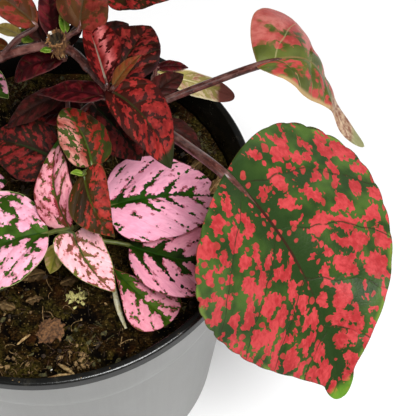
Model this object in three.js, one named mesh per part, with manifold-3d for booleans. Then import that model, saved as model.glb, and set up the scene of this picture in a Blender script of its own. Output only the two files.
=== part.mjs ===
// A potted polka dot plant: a nursery pot full of soil, with leafy red, pink and olive shoots.
// Millimetres, +Z up. The origin is under the middle of the pot, on the surface that it stands on.
// The plant is seen from -Y, with +X to the right.

import * as THREE from 'three';
import { mergeVertices } from 'three/addons/utils/BufferGeometryUtils.js';
import Module from 'manifold-3d';

const wasm = await Module();
wasm.setup();

// Pot
const POT_HEIGHT = 108;
const RIM_RADIUS = 60;
const LIP_HEIGHT = 4;
const SHOULDER_RADIUS = 57.4;
const FOOT_RADIUS = 47;
const COLLAR_DROP = 26;
const COLLAR_STEP = 0.4;
const COLLAR_RISE = 0.8;
const WALL = 1.4;
const FLOOR = 1.8;
const FLOOR_CORNER = 4;
const FOOT_BEVEL = 2;
const RIM_WIDTH = 2.2;
const RIM_ROUND = 0.6;
const POT_SIDES = 44;
const DRAIN_HOLES = 5;
const DRAIN_RADIUS = 3.5;
const DRAIN_CIRCLE = 34;
const DRAIN_TURN = 0.3;

// Soil
const SOIL_TOP = 97;
const SOIL_GAP = 0.4;
const SOIL_SIDES = 36;
const SOIL_RINGS = [0.97, 0.86, 0.72, 0.57, 0.42, 0.27, 0.13];
const SWELL_HEIGHT = 1.1;
const LUMP_HEIGHT = 0.8;
const ROOT_DEPTH = 12;
const STEM_START = 2;
const HOLE_REACH = 8;
const HOLE_SIDES = 8;
const HOLE_CLEARANCE = 0.5;
const BED_CLEARANCE = 0.35;

// Leaves and stems
const BLADE_THICKNESS = 0.8;
const RIB_SINK = 0.25;
const TAIL_ROUND = 0.5;
const STALK_SIDES = 4;
const STEM_SIDES = 6;
const LEAF = {
  width: 12, blunt: 0.6, sharp: 0.9, arch: 0.09, nod: 0, sweep: 0, roll: 0, twist: 0,
  fold: 0.12, curl: 0.12, lobe: 0, shear: 0, skew: 0, tail: 0, tailFrom: 0.7,
  scallop: 0, stalk: 0.6, stalkRise: 0.08, stalkSteps: 1, rib: 0.15, rows: 6, cols: 4, face: [0, 0, 1],
};
const SMALL = { stalkRise: 0, rib: 0.1, rows: 5, cols: 2 };

const COLOURS = {
  pot: '#a3a3a1', soil: '#3a2c1e', red: '#8c2a2c', crimson: '#55191d', scarlet: '#d8434a',
  pink: '#e79ab8', olive: '#6b5a33', bark: '#8a5a44', straw: '#c8a878',
};

const vec = ([x, y, z]) => new THREE.Vector3(x, y, z);
const UP = new THREE.Vector3(0, 0, 1);
const FULL_TURN = 2 * Math.PI;

// Solids

function solid(geometry) {
  const bare = geometry.clone();
  bare.deleteAttribute('normal');
  bare.deleteAttribute('uv');
  const merged = mergeVertices(bare);
  const index = merged.index.array;
  const kept = [];
  for (let i = 0; i < index.length; i += 3) {
    const [a, b, c] = [index[i], index[i + 1], index[i + 2]];
    if (a !== b && b !== c && c !== a) kept.push(a, b, c);
  }
  return new wasm.Manifold(new wasm.Mesh({
    numProp: 3,
    vertProperties: new Float32Array(merged.attributes.position.array),
    triVerts: new Uint32Array(kept),
  }));
}

function node(name, body, colour, roughness = 0.6) {
  const { vertProperties, triVerts } = body.getMesh();
  const geometry = new THREE.BufferGeometry();
  geometry.setAttribute('position', new THREE.BufferAttribute(vertProperties, 3));
  geometry.setIndex(new THREE.BufferAttribute(triVerts, 1));
  geometry.computeVertexNormals();
  const material = new THREE.MeshStandardMaterial({ color: colour, roughness, metalness: 0 });
  const mesh = new THREE.Mesh(geometry, material);
  mesh.name = name;
  return mesh;
}

function turned(profile, sides) {
  const points = profile.map(([r, z]) => new THREE.Vector2(r, z));
  return new THREE.LatheGeometry(points, sides).rotateX(Math.PI / 2);
}

function tube(points, radius, sides, stepsPerSpan) {
  const outline = new THREE.Shape();
  for (let i = 0; i < sides; i += 1) {
    const angle = (FULL_TURN * i) / sides;
    const [x, y] = [radius * Math.cos(angle), radius * Math.sin(angle)];
    if (i === 0) outline.moveTo(x, y);
    else outline.lineTo(x, y);
  }
  outline.closePath();
  const extrudePath = new THREE.CatmullRomCurve3(points);
  const steps = stepsPerSpan * (points.length - 1);
  return solid(new THREE.ExtrudeGeometry(outline, { steps, extrudePath, bevelEnabled: false }));
}

function post(x, y, bottom, top, radius) {
  const geometry = new THREE.CylinderGeometry(radius, radius, top - bottom, HOLE_SIDES).rotateX(Math.PI / 2);
  return solid(geometry.translate(x, y, (top + bottom) / 2));
}

// Pot: a tapered wall with a slightly thicker collar, a rim lip, a flat floor and drain holes

function wallRadius(z) {
  return THREE.MathUtils.lerp(FOOT_RADIUS, SHOULDER_RADIUS, z / (POT_HEIGHT - LIP_HEIGHT));
}

function makePot() {
  const collar = POT_HEIGHT - COLLAR_DROP;
  const shoulder = POT_HEIGHT - LIP_HEIGHT;
  const profile = [
    [0, 0],
    [FOOT_RADIUS - FOOT_BEVEL, 0],
    [wallRadius(FOOT_BEVEL), FOOT_BEVEL],
    [wallRadius(collar), collar],
    [wallRadius(collar) + COLLAR_STEP, collar + COLLAR_RISE],
    [wallRadius(shoulder) + COLLAR_STEP, shoulder - COLLAR_STEP],
    [RIM_RADIUS, shoulder],
    [RIM_RADIUS, POT_HEIGHT - RIM_ROUND],
    [RIM_RADIUS - RIM_ROUND, POT_HEIGHT],
    [RIM_RADIUS - RIM_WIDTH + RIM_ROUND, POT_HEIGHT],
    [RIM_RADIUS - RIM_WIDTH, POT_HEIGHT - RIM_ROUND],
    [wallRadius(shoulder) - WALL + COLLAR_STEP, shoulder],
    [wallRadius(FLOOR_CORNER) - WALL, FLOOR_CORNER],
    [wallRadius(FLOOR) - WALL - FOOT_BEVEL, FLOOR],
    [0, FLOOR],
  ];
  let pot = solid(turned(profile, POT_SIDES));
  for (let i = 0; i < DRAIN_HOLES; i += 1) {
    const angle = (FULL_TURN * i) / DRAIN_HOLES + DRAIN_TURN;
    const [x, y] = [DRAIN_CIRCLE * Math.cos(angle), DRAIN_CIRCLE * Math.sin(angle)];
    pot = pot.subtract(post(x, y, -1, FLOOR + 1, DRAIN_RADIUS));
  }
  return pot;
}

// Soil: it fills the pot to just below the rim, and its top is lumpy

function soilHeight(x, y) {
  const swell = SWELL_HEIGHT * Math.sin(x / 13 + 1.2) * Math.cos(y / 17 - 0.4);
  const lumps = LUMP_HEIGHT * Math.sin(x / 5.3 + y / 7.1) * Math.sin(y / 4.7 - 0.6);
  return SOIL_TOP + swell + lumps;
}

function makeSoil(stems, litter) {
  const side = (z) => wallRadius(z) - WALL - SOIL_GAP;
  const edge = side(SOIL_TOP);
  const bottom = FLOOR + SOIL_GAP;
  const corner = FLOOR_CORNER + FOOT_BEVEL;
  const profile = [[0, bottom], [side(bottom) - 2 * FOOT_BEVEL, bottom], [side(corner), corner]];
  profile.push([edge, SOIL_TOP - 2]);
  for (const share of SOIL_RINGS) profile.push([edge * share, SOIL_TOP]);
  profile.push([0, SOIL_TOP]);
  const geometry = turned(profile, SOIL_SIDES);
  const position = geometry.attributes.position;
  for (let i = 0; i < position.count; i += 1) {
    const [x, y, z] = [position.getX(i), position.getY(i), position.getZ(i)];
    if (z > SOIL_TOP - 1) position.setZ(i, soilHeight(x, y));
  }
  let soil = solid(geometry);
  for (const { root, thickness } of stems) {
    const [x, y] = root;
    const end = SOIL_TOP - ROOT_DEPTH - HOLE_CLEARANCE;
    soil = soil.subtract(post(x, y, end, SOIL_TOP + HOLE_REACH, thickness + HOLE_CLEARANCE));
  }
  for (const bed of litter) soil = soil.subtract(bed);
  return soil;
}

// Leaf blade: t runs from the base to the tip and s from one edge (-1) to the other (1)

function bladeFrame(leaf) {
  const base = vec(leaf.base);
  const along = vec(leaf.tip).sub(base);
  const length = along.length();
  along.normalize();
  const face = vec(leaf.face);
  face.addScaledVector(along, -face.dot(along)).normalize();
  const side = new THREE.Vector3().crossVectors(along, face);
  return { base, length, along, face, side };
}

function halfWidth(leaf, t) {
  const peak = leaf.blunt / (leaf.blunt + leaf.sharp);
  const end = leaf.tail ? leaf.tailFrom + 0.1 : 1;
  const u = Math.min(t / end, 1);
  let share = (u / peak) ** leaf.blunt * ((1 - u) / (1 - peak)) ** leaf.sharp;
  const v = THREE.MathUtils.clamp((t - leaf.tailFrom) / (1 - leaf.tailFrom), 0, 1);
  if (leaf.tail) share = Math.hypot(share, leaf.tail * Math.sin(Math.PI * v) ** TAIL_ROUND);
  return (leaf.width / 2) * share;
}

function bladePoint(leaf, frame, t, s, sunk = 0) {
  const { base, length, along, face, side } = frame;
  const turn = THREE.MathUtils.degToRad(leaf.roll + leaf.twist * (t - 0.5));
  const across = side.clone().multiplyScalar(Math.cos(turn)).addScaledVector(face, -Math.sin(turn));
  const normal = face.clone().multiplyScalar(Math.cos(turn)).addScaledVector(side, Math.sin(turn));
  const x = s * halfWidth(leaf, t) * (1 + leaf.skew * Math.sign(s));
  const rise = leaf.fold * Math.abs(x) - (leaf.curl * x * x) / (leaf.width / 2);
  const bow = 4 * t * (1 - t);
  const droop = 6.75 * t * t * (1 - t);
  return base.clone()
    .addScaledVector(along, length * t - leaf.lobe * Math.abs(x) * (1 - t) ** 2 + leaf.shear * x)
    .addScaledVector(face, length * (leaf.arch * bow + leaf.nod * droop))
    .addScaledVector(side, length * leaf.sweep * bow)
    .addScaledVector(across, x)
    .addScaledVector(normal, rise - sunk);
}

function blade(leaf) {
  const { rows, cols } = leaf;
  const frame = bladeFrame(leaf);
  const positions = [];
  for (const sunk of [0, BLADE_THICKNESS]) {
    for (let i = 0; i <= rows; i += 1) {
      const t = (1 - Math.cos((Math.PI * i) / rows)) / 2;
      const stands = 1 + leaf.scallop * (i % 2 ? 1 : -1);
      for (let j = 0; j <= cols; j += 1) {
        const s = (2 * j) / cols - 1;
        const reach = Math.abs(s) === 1 ? s * stands : s;
        positions.push(...bladePoint(leaf, frame, t, reach, sunk).toArray());
      }
    }
  }
  const top = (i, j) => i * (cols + 1) + j;
  const under = (i, j) => (rows + 1) * (cols + 1) + top(i, j);
  const faces = [];
  for (let i = 0; i < rows; i += 1) {
    for (let j = 0; j < cols; j += 1) {
      faces.push(top(i, j), top(i, j + 1), top(i + 1, j + 1));
      faces.push(top(i, j), top(i + 1, j + 1), top(i + 1, j));
      faces.push(under(i, j), under(i + 1, j + 1), under(i, j + 1));
      faces.push(under(i, j), under(i + 1, j), under(i + 1, j + 1));
    }
    faces.push(top(i + 1, cols), top(i, cols), under(i, cols));
    faces.push(top(i + 1, cols), under(i, cols), under(i + 1, cols));
    faces.push(top(i, 0), top(i + 1, 0), under(i + 1, 0));
    faces.push(top(i, 0), under(i + 1, 0), under(i, 0));
  }
  const geometry = new THREE.BufferGeometry();
  geometry.setAttribute('position', new THREE.Float32BufferAttribute(positions, 3));
  geometry.setIndex(faces);
  return solid(geometry);
}

// A leaf's stalk leaves the stem, rises a little and runs on below the blade as its rib

function stalk(leaf, from) {
  const frame = bladeFrame(leaf);
  const sunk = leaf.stalk + RIB_SINK;
  const start = bladePoint(leaf, frame, 0, 0, sunk);
  const middle = from.clone().lerp(start, 0.5).addScaledVector(UP, leaf.stalkRise * from.distanceTo(start));
  const rib = bladePoint(leaf, frame, leaf.rib, 0, sunk);
  const route = leaf.stalkRise ? [from, middle, start, rib] : [from, start, rib];
  return tube(route, leaf.stalk, STALK_SIDES, leaf.stalkSteps);
}

function makeShoot({ stem, thickness, leaves, stubs = [], stemSteps = 2 }) {
  const points = stem.map(vec);
  let shoot = tube(points, thickness, STEM_SIDES, stemSteps);
  for (const [from, to, radius] of stubs) {
    shoot = shoot.add(tube([vec(from), vec(to)], radius, STEM_SIDES, 1));
  }
  for (const shape of leaves) {
    const leaf = { ...LEAF, ...shape };
    shoot = shoot.add(stalk(leaf, points[leaf.at])).add(blade(leaf));
  }
  return shoot;
}

// Each stem goes straight up through the soil first; a leaf's `at` is the stem point that it grows from

function rooted(x, y, rest) {
  const root = SOIL_TOP - ROOT_DEPTH;
  return [[x, y, root], [x, y, root + ROOT_DEPTH / 2], [x, y, SOIL_TOP + STEM_START], ...rest];
}

const shoots = {
  shoot_red_arching: {
    colour: 'red',
    thickness: 1.3,
    stem: rooted(-34, 4, [
      [-32, 6, 120], [-24, 10, 142], [-8, 13, 152], [8, 13, 156], [16, 5, 157], [21, -3, 157],
    ]),
    stubs: [[[8, 13, 155], [7.6, 11.6, 161.5], 2.1]],
    leaves: [
      { at: 6, base: [14, 10, 166], tip: [19, 28, 178], width: 14, blunt: 0.38, sharp: 1.2, shear: -0.17 },
      { at: 6, base: [6.5, 14.5, 157], tip: [5, 28, 166], width: 7, roll: 15, ...SMALL },
      { at: 6, base: [20, 24, 162], tip: [39, 22, 166], width: 11.6, roll: 7, blunt: 0.5, sharp: 0.75 },
      { at: 7, base: [17, 18, 152], tip: [24.5, 26.5, 150], width: 8, ...SMALL },
      { at: 6, base: [8, 14, 150], tip: [-6, 13, 142], width: 7, roll: -25, arch: 0.18, sharp: 0.7 },
      { at: 5, base: [-4, 22, 150], tip: [-13, 29, 146], width: 4.5, ...SMALL },
      { at: 5, base: [-8, 21.5, 146], tip: [-18, 26, 142], width: 5, ...SMALL },
      { at: 5, base: [0, 20, 150], tip: [-7, 25.5, 148], width: 4.6, ...SMALL },
      { at: 6, base: [2.6, 17, 153], tip: [-2.5, 29, 154], width: 6, ...SMALL },
      { at: 6, base: [10, 15, 154], tip: [13, 23, 156], width: 4, fold: 0.35, ...SMALL },
      { at: 6, base: [10, 13, 161], tip: [9.2, 17, 166], width: 2.6, stalk: 0.4, ...SMALL },
      { at: 5, base: [3, 13, 164], tip: [-11, 19, 172], width: 10 },
      { at: 8, base: [21.3, -4.6, 162], tip: [15.4, 13.4, 166], width: 9, roll: -12, blunt: 0.7, sharp: 0.9,
        fold: 0.3, skew: 0.38 },
      { at: 8, base: [22.8, -0.8, 158.5], tip: [31.3, 15.5, 161], width: 16, roll: 2, arch: 0.12, sharp: 0.86 },
      { at: 8, base: [21, -4, 160], tip: [37, -21, 150], width: 14, sweep: -0.07, shear: 0.36, skew: -0.13,
        arch: 0.12, sharp: 0.85, rows: 8 },
      { at: 8, base: [21, -5, 158], tip: [2, 2, 150], width: 8.2, roll: 5, sharp: 1.1 },
      { at: 8, base: [23, -6, 163], tip: [30, -2, 170], width: 4, fold: 0.3, ...SMALL },
    ],
  },
  shoot_red_long: {
    colour: 'scarlet',
    thickness: 1.3,
    stem: rooted(28, 8, [[29, 10, 112], [30, 12, 126], [30, 12.5, 132]]),
    leaves: [
      { at: 4, base: [50.3, -21.5, 149], tip: [81.4, -59.4, 98], width: 59.5, twist: 65, roll: 8, arch: 0,
        sweep: -0.09, fold: 0.15, curl: 0.355, blunt: 0.71, sharp: 0.82, lobe: 0.4, shear: 0.195,
        skew: -0.075, tail: 0.155, tailFrom: 0.826, scallop: 0.012, stalk: 1.25, stalkRise: 0.01,
        stalkSteps: 3, rib: 0.3, rows: 24, cols: 6 },
      { at: 5, base: [58.9, 10.1, 152.2], tip: [89.6, 4.6, 123.9], width: 27.7, twist: 12.4, roll: -1.4,
        arch: 0.307, nod: -0.291, sweep: -0.205, fold: -0.295, curl: 0.072, blunt: 0.737, sharp: 1.278,
        lobe: 0.82, skew: -0.348, shear: -0.053, tail: 0.238, tailFrom: 0.711, stalk: 1, stalkRise: 0.01,
        stalkSteps: 3, rib: 0.3, rows: 16 },
      { at: 3, base: [30, 36, 118], tip: [54, 31, 113], width: 9, arch: 0.05, shear: 0.11, sharp: 0.5,
        skew: 0.12 },
      { at: 4, base: [30, 14, 134], tip: [39, 24, 132], width: 7, roll: 11 },
      { at: 3, base: [32, 14, 122], tip: [44, 11, 114], width: 8.6 },
    ],
  },
  shoot_red_left: {
    colour: 'crimson',
    thickness: 1.1,
    stem: rooted(4, 6, [[6, 4, 120], [9, 2, 138]]),
    leaves: [
      { at: 4, base: [8, 9, 142], tip: [-9, 5, 132], width: 9 },
      { at: 4, base: [15, 7, 140], tip: [28, -6, 132], width: 16 },
      { at: 3, base: [5.2, -3.5, 129], tip: [-15, 5, 127], width: 18.4, roll: -28, sharp: 1.06 },
      { at: 4, base: [12, 6, 138], tip: [0, 8, 132], width: 9 },
    ],
  },
  shoot_red_small: {
    colour: 'red',
    thickness: 0.9,
    stem: rooted(13, -4, [[14, -8, 120], [15, -13, 137]]),
    leaves: [
      { at: 4, base: [16, -12, 138], tip: [9, 1, 146], width: 14.2, roll: 19, blunt: 0.36, sharp: 0.6,
        sweep: 0.05, shear: -0.13, arch: 0.12 },
      { at: 4, base: [14, -14, 138], tip: [22, -28, 129], width: 12.7, blunt: 0.45, sharp: 1.1, sweep: 0.11,
        shear: 0.4, lobe: 0.12 },
      { at: 4, base: [14, -15, 139], tip: [11, -16, 141], width: 2.2, stalk: 0.4, ...SMALL },
    ],
  },
  shoot_pink_front: {
    colour: 'pink',
    thickness: 1.1,
    stem: rooted(4, -16, [[5, -19, 112], [7, -21, 121]]),
    leaves: [
      { at: 4, base: [9, -21, 122], tip: [6, -2, 136], width: 15.3, roll: -43, twist: 14, sweep: -0.11,
        shear: 0.38, fold: 0.22, sharp: 1 },
      { at: 4, base: [3, -21, 120], tip: [-19, -30, 116], width: 29, blunt: 0.46, sharp: 0.44, shear: -0.16,
        skew: 0.08, sweep: 0.05, fold: 0.16 },
      { at: 4, base: [10, -22, 121], tip: [21, -35, 112], width: 14.7, roll: -20, blunt: 0.35, sharp: 0.9,
        sweep: 0.1, shear: -0.25, lobe: 0.35, curl: 0 },
      { at: 3, base: [18, -10, 116], tip: [49, -7, 116], width: 28, twist: -16, blunt: 0.35, sharp: 0.5,
        fold: 0.17, curl: 0.17, shear: 0.08, rows: 8 },
      { at: 3, base: [24, -19, 110], tip: [51, -26, 112], width: 21.5, roll: 12, blunt: 0.35, sharp: 0.36,
        sweep: 0.1, shear: 0.17, rows: 8 },
      { at: 3, base: [18.5, -23, 106], tip: [35.7, -39, 102], width: 17.2, roll: -12, blunt: 1.8, sharp: 0.54,
        sweep: 0.05 },
      { at: 3, base: [5, -20, 112], tip: [2, -26, 106], width: 6, ...SMALL },
    ],
  },
};

// The shoots round the left and the back carry crossed pairs of leaves, larger on the side that leans out

const DRAW_STEP = 16807;
const DRAW_RANGE = 2147483647;
const PAIR_HEIGHTS = [0.35, 0.6, 0.82, 1];
const PAIR_SIZES = [1, 0.95, 0.75, 0.5];
const STEM_BEND = 1.6;
const PAIR_TURN = 0.5 * Math.PI;
const HEADING_SPREAD = 0.25;
const LENGTH_SPREAD = 0.1;
const OUTWARD_GAIN = 0.22;
const LOWEST_SLOPE = -18;
const SLOPE_STEP = 17;
const SLOPE_SPREAD = 8;
const STALK_CLIMB = 0.7;
const STALK_SHARE = 0.36;
const STALK_SHRINK = 0.05;
const BLADE_BREADTH = 0.6;
const ROLL_SPREAD = 12;
const PAIRED_LEAF = { sharp: 0.85, arch: 0.12, lobe: 0.15, ...SMALL };

function dice(seed) {
  let state = seed;
  return (spread) => {
    state = (state * DRAW_STEP) % DRAW_RANGE;
    return spread * ((2 * state) / DRAW_RANGE - 1);
  };
}

function pairedShoot(seed, colour, root, top, size) {
  const roll = dice(seed);
  const [x, y] = root;
  const start = SOIL_TOP + STEM_START;
  const leaning = Math.atan2(top[1] - y, top[0] - x);
  const path = PAIR_HEIGHTS.map((share) => [
    x + (top[0] - x) * share ** STEM_BEND,
    y + (top[1] - y) * share ** STEM_BEND,
    start + (top[2] - start) * share,
  ]);
  const leaves = [];
  PAIR_HEIGHTS.forEach((share, level) => {
    for (const opposite of [0, Math.PI]) {
      const heading = leaning + PAIR_TURN * (level + 0.5) + opposite + roll(HEADING_SPREAD);
      const outward = 1 + OUTWARD_GAIN * (Math.cos(heading - leaning) - 1);
      const length = size * PAIR_SIZES[level] * outward * (1 + roll(LENGTH_SPREAD));
      const slope = THREE.MathUtils.degToRad(LOWEST_SLOPE + SLOPE_STEP * level + roll(SLOPE_SPREAD));
      const towards = (climb) => new THREE.Vector3(
        Math.cos(heading) * Math.cos(climb), Math.sin(heading) * Math.cos(climb), Math.sin(climb));
      const gap = (STALK_SHARE - STALK_SHRINK * level) * length;
      const base = vec(path[level]).addScaledVector(towards(STALK_CLIMB), gap);
      const tip = base.clone().addScaledVector(towards(slope), length);
      leaves.push({
        at: 3 + level,
        base: base.toArray(),
        tip: tip.toArray(),
        width: BLADE_BREADTH * length,
        roll: roll(ROLL_SPREAD),
        ...PAIRED_LEAF,
      });
    }
  });
  return { colour, thickness: 1.1, stem: rooted(x, y, path), stemSteps: 1, leaves };
}

shoots.shoot_pink_left = pairedShoot(2, 'pink', [-34, -14], [-50, -26, 126], 30);
shoots.shoot_pink_left.leaves.push({ at: 3, base: [-29, -2, 113], tip: [-12, 2, 110], width: 15, ...SMALL });
shoots.shoot_red_side = pairedShoot(4, 'red', [-48, 12], [-74, 20, 146], 33);
shoots.shoot_red_front = pairedShoot(1, 'red', [-24, -42], [-42, -66, 136], 31);
shoots.shoot_red_back = pairedShoot(2, 'red', [-41, 27], [-70, 42, 150], 32);
shoots.shoot_pink_back = pairedShoot(2, 'pink', [-29, 40], [-41, 68, 132], 27);
shoots.shoot_olive_tall = pairedShoot(28, 'olive', [-26, 22], [-37, 24, 168], 23);

// Litter on the soil: a bark chip, straws and a dead stalk, each in a bed pressed into the soil

const CHIP_PLACE = [1.5, -38.2];
const CHIP_THICKNESS = 2.2;
const CHIP_SUNK = 0.9;
const CHIP_TILT = [0.16, -0.2];
const CHIP_CORNERS = [
  [-4, -1.5], [-2.6, -3.4], [1, -3.7], [3.6, -2.2], [4.1, 0.8], [2.2, 3.2], [-0.8, 3.6], [-3.4, 1.8],
];

function makeChip(margin) {
  const outline = new THREE.Shape();
  CHIP_CORNERS.forEach(([x, y], i) => {
    const grown = 1 + margin / Math.hypot(x, y);
    if (i === 0) outline.moveTo(x * grown, y * grown);
    else outline.lineTo(x * grown, y * grown);
  });
  outline.closePath();
  const depth = CHIP_THICKNESS + 2 * margin;
  const geometry = new THREE.ExtrudeGeometry(outline, { depth, bevelEnabled: false });
  geometry.translate(0, 0, -margin).rotateX(CHIP_TILT[0]).rotateY(CHIP_TILT[1]);
  return solid(geometry.translate(...CHIP_PLACE, soilHeight(...CHIP_PLACE) - CHIP_SUNK));
}

// Straws: each point is x, y and the height above the soil there

const straws = {
  straw_long: { radius: 0.4, route: [[2.6, -54.3, 3.5], [6.3, -53.5, 3.6], [10, -52.9, 2.6]] },
  straw_crossing: { radius: 0.6, route: [[5, -49, 0.4], [7.5, -51.3, 2.6], [9.8, -53.5, 4.6]] },
  straw_short: { radius: 0.4, route: [[-7, -43, 0.1], [-5.2, -41.4, 0.3], [-3.6, -40, 0.2]] },
  dead_stalk: {
    radius: 0.8,
    route: [[19, -24.6, 0.5], [19.8, -29.2, 2.4], [21.2, -34.6, 2.6], [23.1, -38.8, 0.5]],
  },
};

function strawPoints(route) {
  return route.map(([x, y, lift]) => new THREE.Vector3(x, y, soilHeight(x, y) + lift));
}

const plant = new THREE.Group();
const stems = [];
for (const [name, shoot] of Object.entries(shoots)) {
  plant.add(node(name, makeShoot(shoot), COLOURS[shoot.colour], 0.45));
  stems.push({ root: shoot.stem[0], thickness: shoot.thickness });
}
const litter = [makeChip(BED_CLEARANCE)];
plant.add(node('bark_chip', makeChip(0), COLOURS.bark, 0.9));
for (const [name, { radius, route }] of Object.entries(straws)) {
  const points = strawPoints(route);
  plant.add(node(name, tube(points, radius, STALK_SIDES, 1), COLOURS.straw, 0.8));
  litter.push(tube(points, radius + BED_CLEARANCE, STALK_SIDES, 1));
}
plant.add(node('soil', makeSoil(stems, litter), COLOURS.soil, 0.95));
plant.add(node('pot', makePot(), COLOURS.pot, 0.4));

export default plant;
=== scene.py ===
import math
import random

import bmesh
import bpy
import numpy as np
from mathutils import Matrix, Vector, noise


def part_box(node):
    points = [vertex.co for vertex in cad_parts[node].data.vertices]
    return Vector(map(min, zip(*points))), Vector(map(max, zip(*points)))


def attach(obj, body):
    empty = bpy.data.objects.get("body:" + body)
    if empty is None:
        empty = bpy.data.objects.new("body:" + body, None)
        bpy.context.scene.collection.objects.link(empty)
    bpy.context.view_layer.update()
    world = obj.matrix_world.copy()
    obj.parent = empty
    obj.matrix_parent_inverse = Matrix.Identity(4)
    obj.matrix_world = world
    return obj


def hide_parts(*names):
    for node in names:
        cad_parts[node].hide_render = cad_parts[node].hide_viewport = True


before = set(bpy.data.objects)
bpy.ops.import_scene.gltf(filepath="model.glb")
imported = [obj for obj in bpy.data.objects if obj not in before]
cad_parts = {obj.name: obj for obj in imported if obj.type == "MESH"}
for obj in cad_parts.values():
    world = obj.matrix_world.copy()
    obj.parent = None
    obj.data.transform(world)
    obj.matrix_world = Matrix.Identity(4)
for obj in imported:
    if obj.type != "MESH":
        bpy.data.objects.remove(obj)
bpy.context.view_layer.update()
scene = bpy.context.scene

MM = 0.001
FULL_TURN = 2 * math.pi

# Pot, as the frame's pot is built
POT_LOW, POT_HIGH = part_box("pot")
POT_HEIGHT = (POT_HIGH[2] - POT_LOW[2]) / MM
RIM_RADIUS = (POT_HIGH[0] - POT_LOW[0]) / 2 / MM
LIP_HEIGHT = 4
SHOULDER_RADIUS = RIM_RADIUS - 2.6
FOOT_RADIUS = RIM_RADIUS - 13
COLLAR_DROP = 26
COLLAR_STEP = 0.4
COLLAR_RISE = 0.9
WALL = 1.4
FLOOR = 1.8
RIM_WIDTH = 2.3
OUTER_ROUND = 0.9
INNER_ROUND = 0.5
BLACK_DEPTH = 3.2
POT_SIDES = 176
DRAIN_HOLES = 5
DRAIN_RADIUS = 3.5
DRAIN_CIRCLE = 34
DRAIN_TURN = 0.3

# Soil, with a bark chip pressed into it
CHIP_PLACE = (1.5, -38.2)
CHIP_DENT = 1.8
DENT_REACH = 4.6
SOIL_TOP = POT_HEIGHT - 11
SOIL_GAP = 0.4
SWELL_HEIGHT = 1.1
LUMP_HEIGHT = 0.8
CLOD_SIZE = 8.5
CLOD_HEIGHT = 3.2
SMALL_CLOD_SIZE = 3.4
SMALL_CLOD_HEIGHT = 1.7
ROUGH_SIZE = 4
ROUGH_HEIGHT = 1.0
SOIL_SINK = 0.9
SOIL_CELLS = 210
SKIRT_RINGS = 30
SKIRT_START = 3
SKIRT_BEVEL = 2.2
ROOT_DEPTH = 12
STEM_START = 2

# Leaves and stems
BLADE_THICKNESS = 0.5
TAIL_ROUND = 0.5
LATERAL_SLOPE = 0.72
LATERAL_BOW = 0.36
LATERAL_SHARE = 0.215
FIRST_LATERAL = 0.08
STEM_SIDES = 14
STALK_SIDES = 12
FIBRE_SIDES = 5
NODE_SWELL = 0.28
NODE_REACH = 1.3
RIB_SHARES = (0.12, 0.3, 0.5, 0.68, 0.82)
RIB_DEPTH = 0.3
RIB_END = 0.06

# Camera: it looks down on the right half of the plant, as the photograph does
CAMERA_PLACE = (45.9, -161.4, 352.9)
CAMERA_TILT = 32.46
LENS = 87.49
SENSOR = 36


# Colours and shader nodes


def srgb(red, green, blue):
    """A colour given as it looks on a screen, 0 to 255, as linear light."""
    levels = [level / 255 for level in (red, green, blue)]
    linear = [((v + 0.055) / 1.055) ** 2.4 if v > 0.04045 else v / 12.92 for v in levels]
    return (*linear, 1)


class Wire:
    """A number, vector or colour from one of a material's nodes. Arithmetic with it adds a node."""

    def __init__(self, shader, socket):
        self.shader = shader
        self.socket = socket

    def __add__(self, other):
        return self.shader.math("ADD", self, other)

    def __sub__(self, other):
        return self.shader.math("SUBTRACT", self, other)

    def __rsub__(self, other):
        return self.shader.math("SUBTRACT", other, self)

    def __mul__(self, other):
        return self.shader.math("MULTIPLY", self, other)

    def __truediv__(self, other):
        return self.shader.math("DIVIDE", self, other)

    def __abs__(self):
        return self.shader.math("ABSOLUTE", self)


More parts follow.
